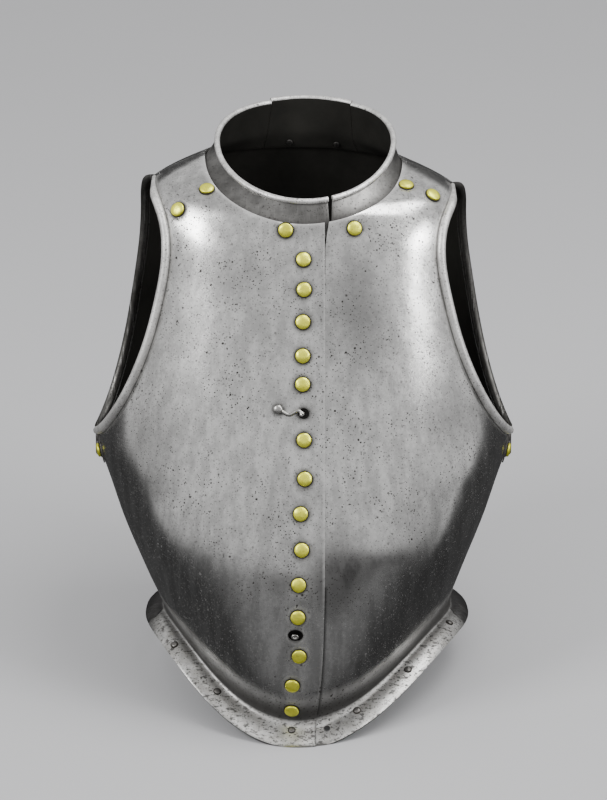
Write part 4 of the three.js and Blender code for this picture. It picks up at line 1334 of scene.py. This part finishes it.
# %% [markdown]
# ## Studio
# Polished steel shows its form only through what it mirrors. One large soft lamp stands
# above, for the chest and the flange, and one on each side in front. The world they stand in
# is pale above and dark below, which leaves the belly dark, over a plain pale floor.
# %% Floor, world and lamps
FLOOR_SIZE, FLOOR_DROP = 30, 0.5 * MM
SKY, GROUND_BEHIND, GROUND_AHEAD = (0.78, 0.78, 0.785), (0.055, 0.055, 0.056), (0.2, 0.2, 0.203)
HORIZON = {"tilt_ahead": 0.586, "tilt_behind": 0.8, "waves": 0.25, "start": -0.25, "end": -0.17}
LAMP_AIM = Vector((0, 0, 0.22))
bpy.ops.object.select_all(action="DESELECT")
bpy.ops.mesh.primitive_plane_add(size=FLOOR_SIZE, location=(0, 0, -FLOOR_DROP))
floor = bpy.context.active_object
floor.name = "studio_floor"
paint, tree, shader, place = new_material("floor_paint")
shade = ramp(tree, noise(tree, place, 3, 3), 0.3, 0.7, 0.97, 1.0)
colour = blend(tree, shade, (0.3, 0.3, 0.31), (0.5, 0.5, 0.51))
tree.links.new(colour, shader.inputs["Base Color"])
shader.inputs["Roughness"].default_value = 0.9
dress(floor, paint)
floor.visible_glossy = False

world = bpy.data.worlds.new("studio")
bpy.context.scene.world = world
world.use_nodes = True
sky = world.node_tree
direction = add(sky, "TexCoord").outputs["Generated"]
split = add(sky, "SeparateXYZ", {0: direction})
away, height = split.outputs["Y"], split.outputs["Z"]
before = times(sky, calc(sky, "MINIMUM", away, 0), HORIZON["tilt_ahead"])
behind = times(sky, calc(sky, "MAXIMUM", away, 0), HORIZON["tilt_behind"])
height = calc(sky, "SUBTRACT", plus(sky, height, before), behind)
wavy = times(sky, noise(sky, direction, 2.2, 2), HORIZON["waves"])
glow = ramp(sky, plus(sky, height, wavy), HORIZON["start"], HORIZON["end"])
below = blend(sky, ramp(sky, away, -0.3, -0.85), GROUND_BEHIND, GROUND_AHEAD)
sky.links.new(blend(sky, glow, below, SKY), sky.nodes["Background"].inputs["Color"])


def soft_lamp(name, place, size, power):
    data = bpy.data.lights.new(name, "AREA")
    data.shape = "RECTANGLE"
    data.size, data.size_y = size
    data.energy = power
    lamp = bpy.data.objects.new(name, data)
    lamp.location = place
    lamp.rotation_mode = "QUATERNION"
    lamp.rotation_quaternion = (LAMP_AIM - Vector(place)).to_track_quat("-Z", "Y")
    bpy.context.scene.collection.objects.link(lamp)


soft_lamp("top_lamp", (0.8, -0.1, 2.2), (1.2, 1.2), 28)
soft_lamp("left_lamp", (-1.8, -1.1, 1.9), (1.0, 0.8), 38)
soft_lamp("right_lamp", (2.1, -1.1, 1.6), (0.8, 0.7), 24)
print(len(bpy.data.lights), "lamps")

# %% [markdown]
# ## Camera
# A long lens from three metres keeps the proportions true. It looks down a little, as one
# looks at armour on a stand.
# %% Camera
ELEVATION, DISTANCE = 25, 3.0
LENS, AIM_RAISE = 160.2, 0.033
TARGET = Vector((0, 0.01628, 0.19215))
tilt = math.radians(ELEVATION)
camera_up = Vector((0, math.sin(tilt), math.cos(tilt)))
spot = TARGET + DISTANCE * Vector((0, -math.cos(tilt), math.sin(tilt)))
camera = bpy.data.objects.new("camera", bpy.data.cameras.new("camera"))
camera.data.lens = LENS
camera.location = spot
camera.rotation_mode = "QUATERNION"
camera.rotation_quaternion = (TARGET + camera_up * AIM_RAISE - spot).to_track_quat("-Z", "Y")
bpy.context.scene.collection.objects.link(camera)
bpy.context.scene.camera = camera
print("the camera stands", round(spot.length, 2), "m away")
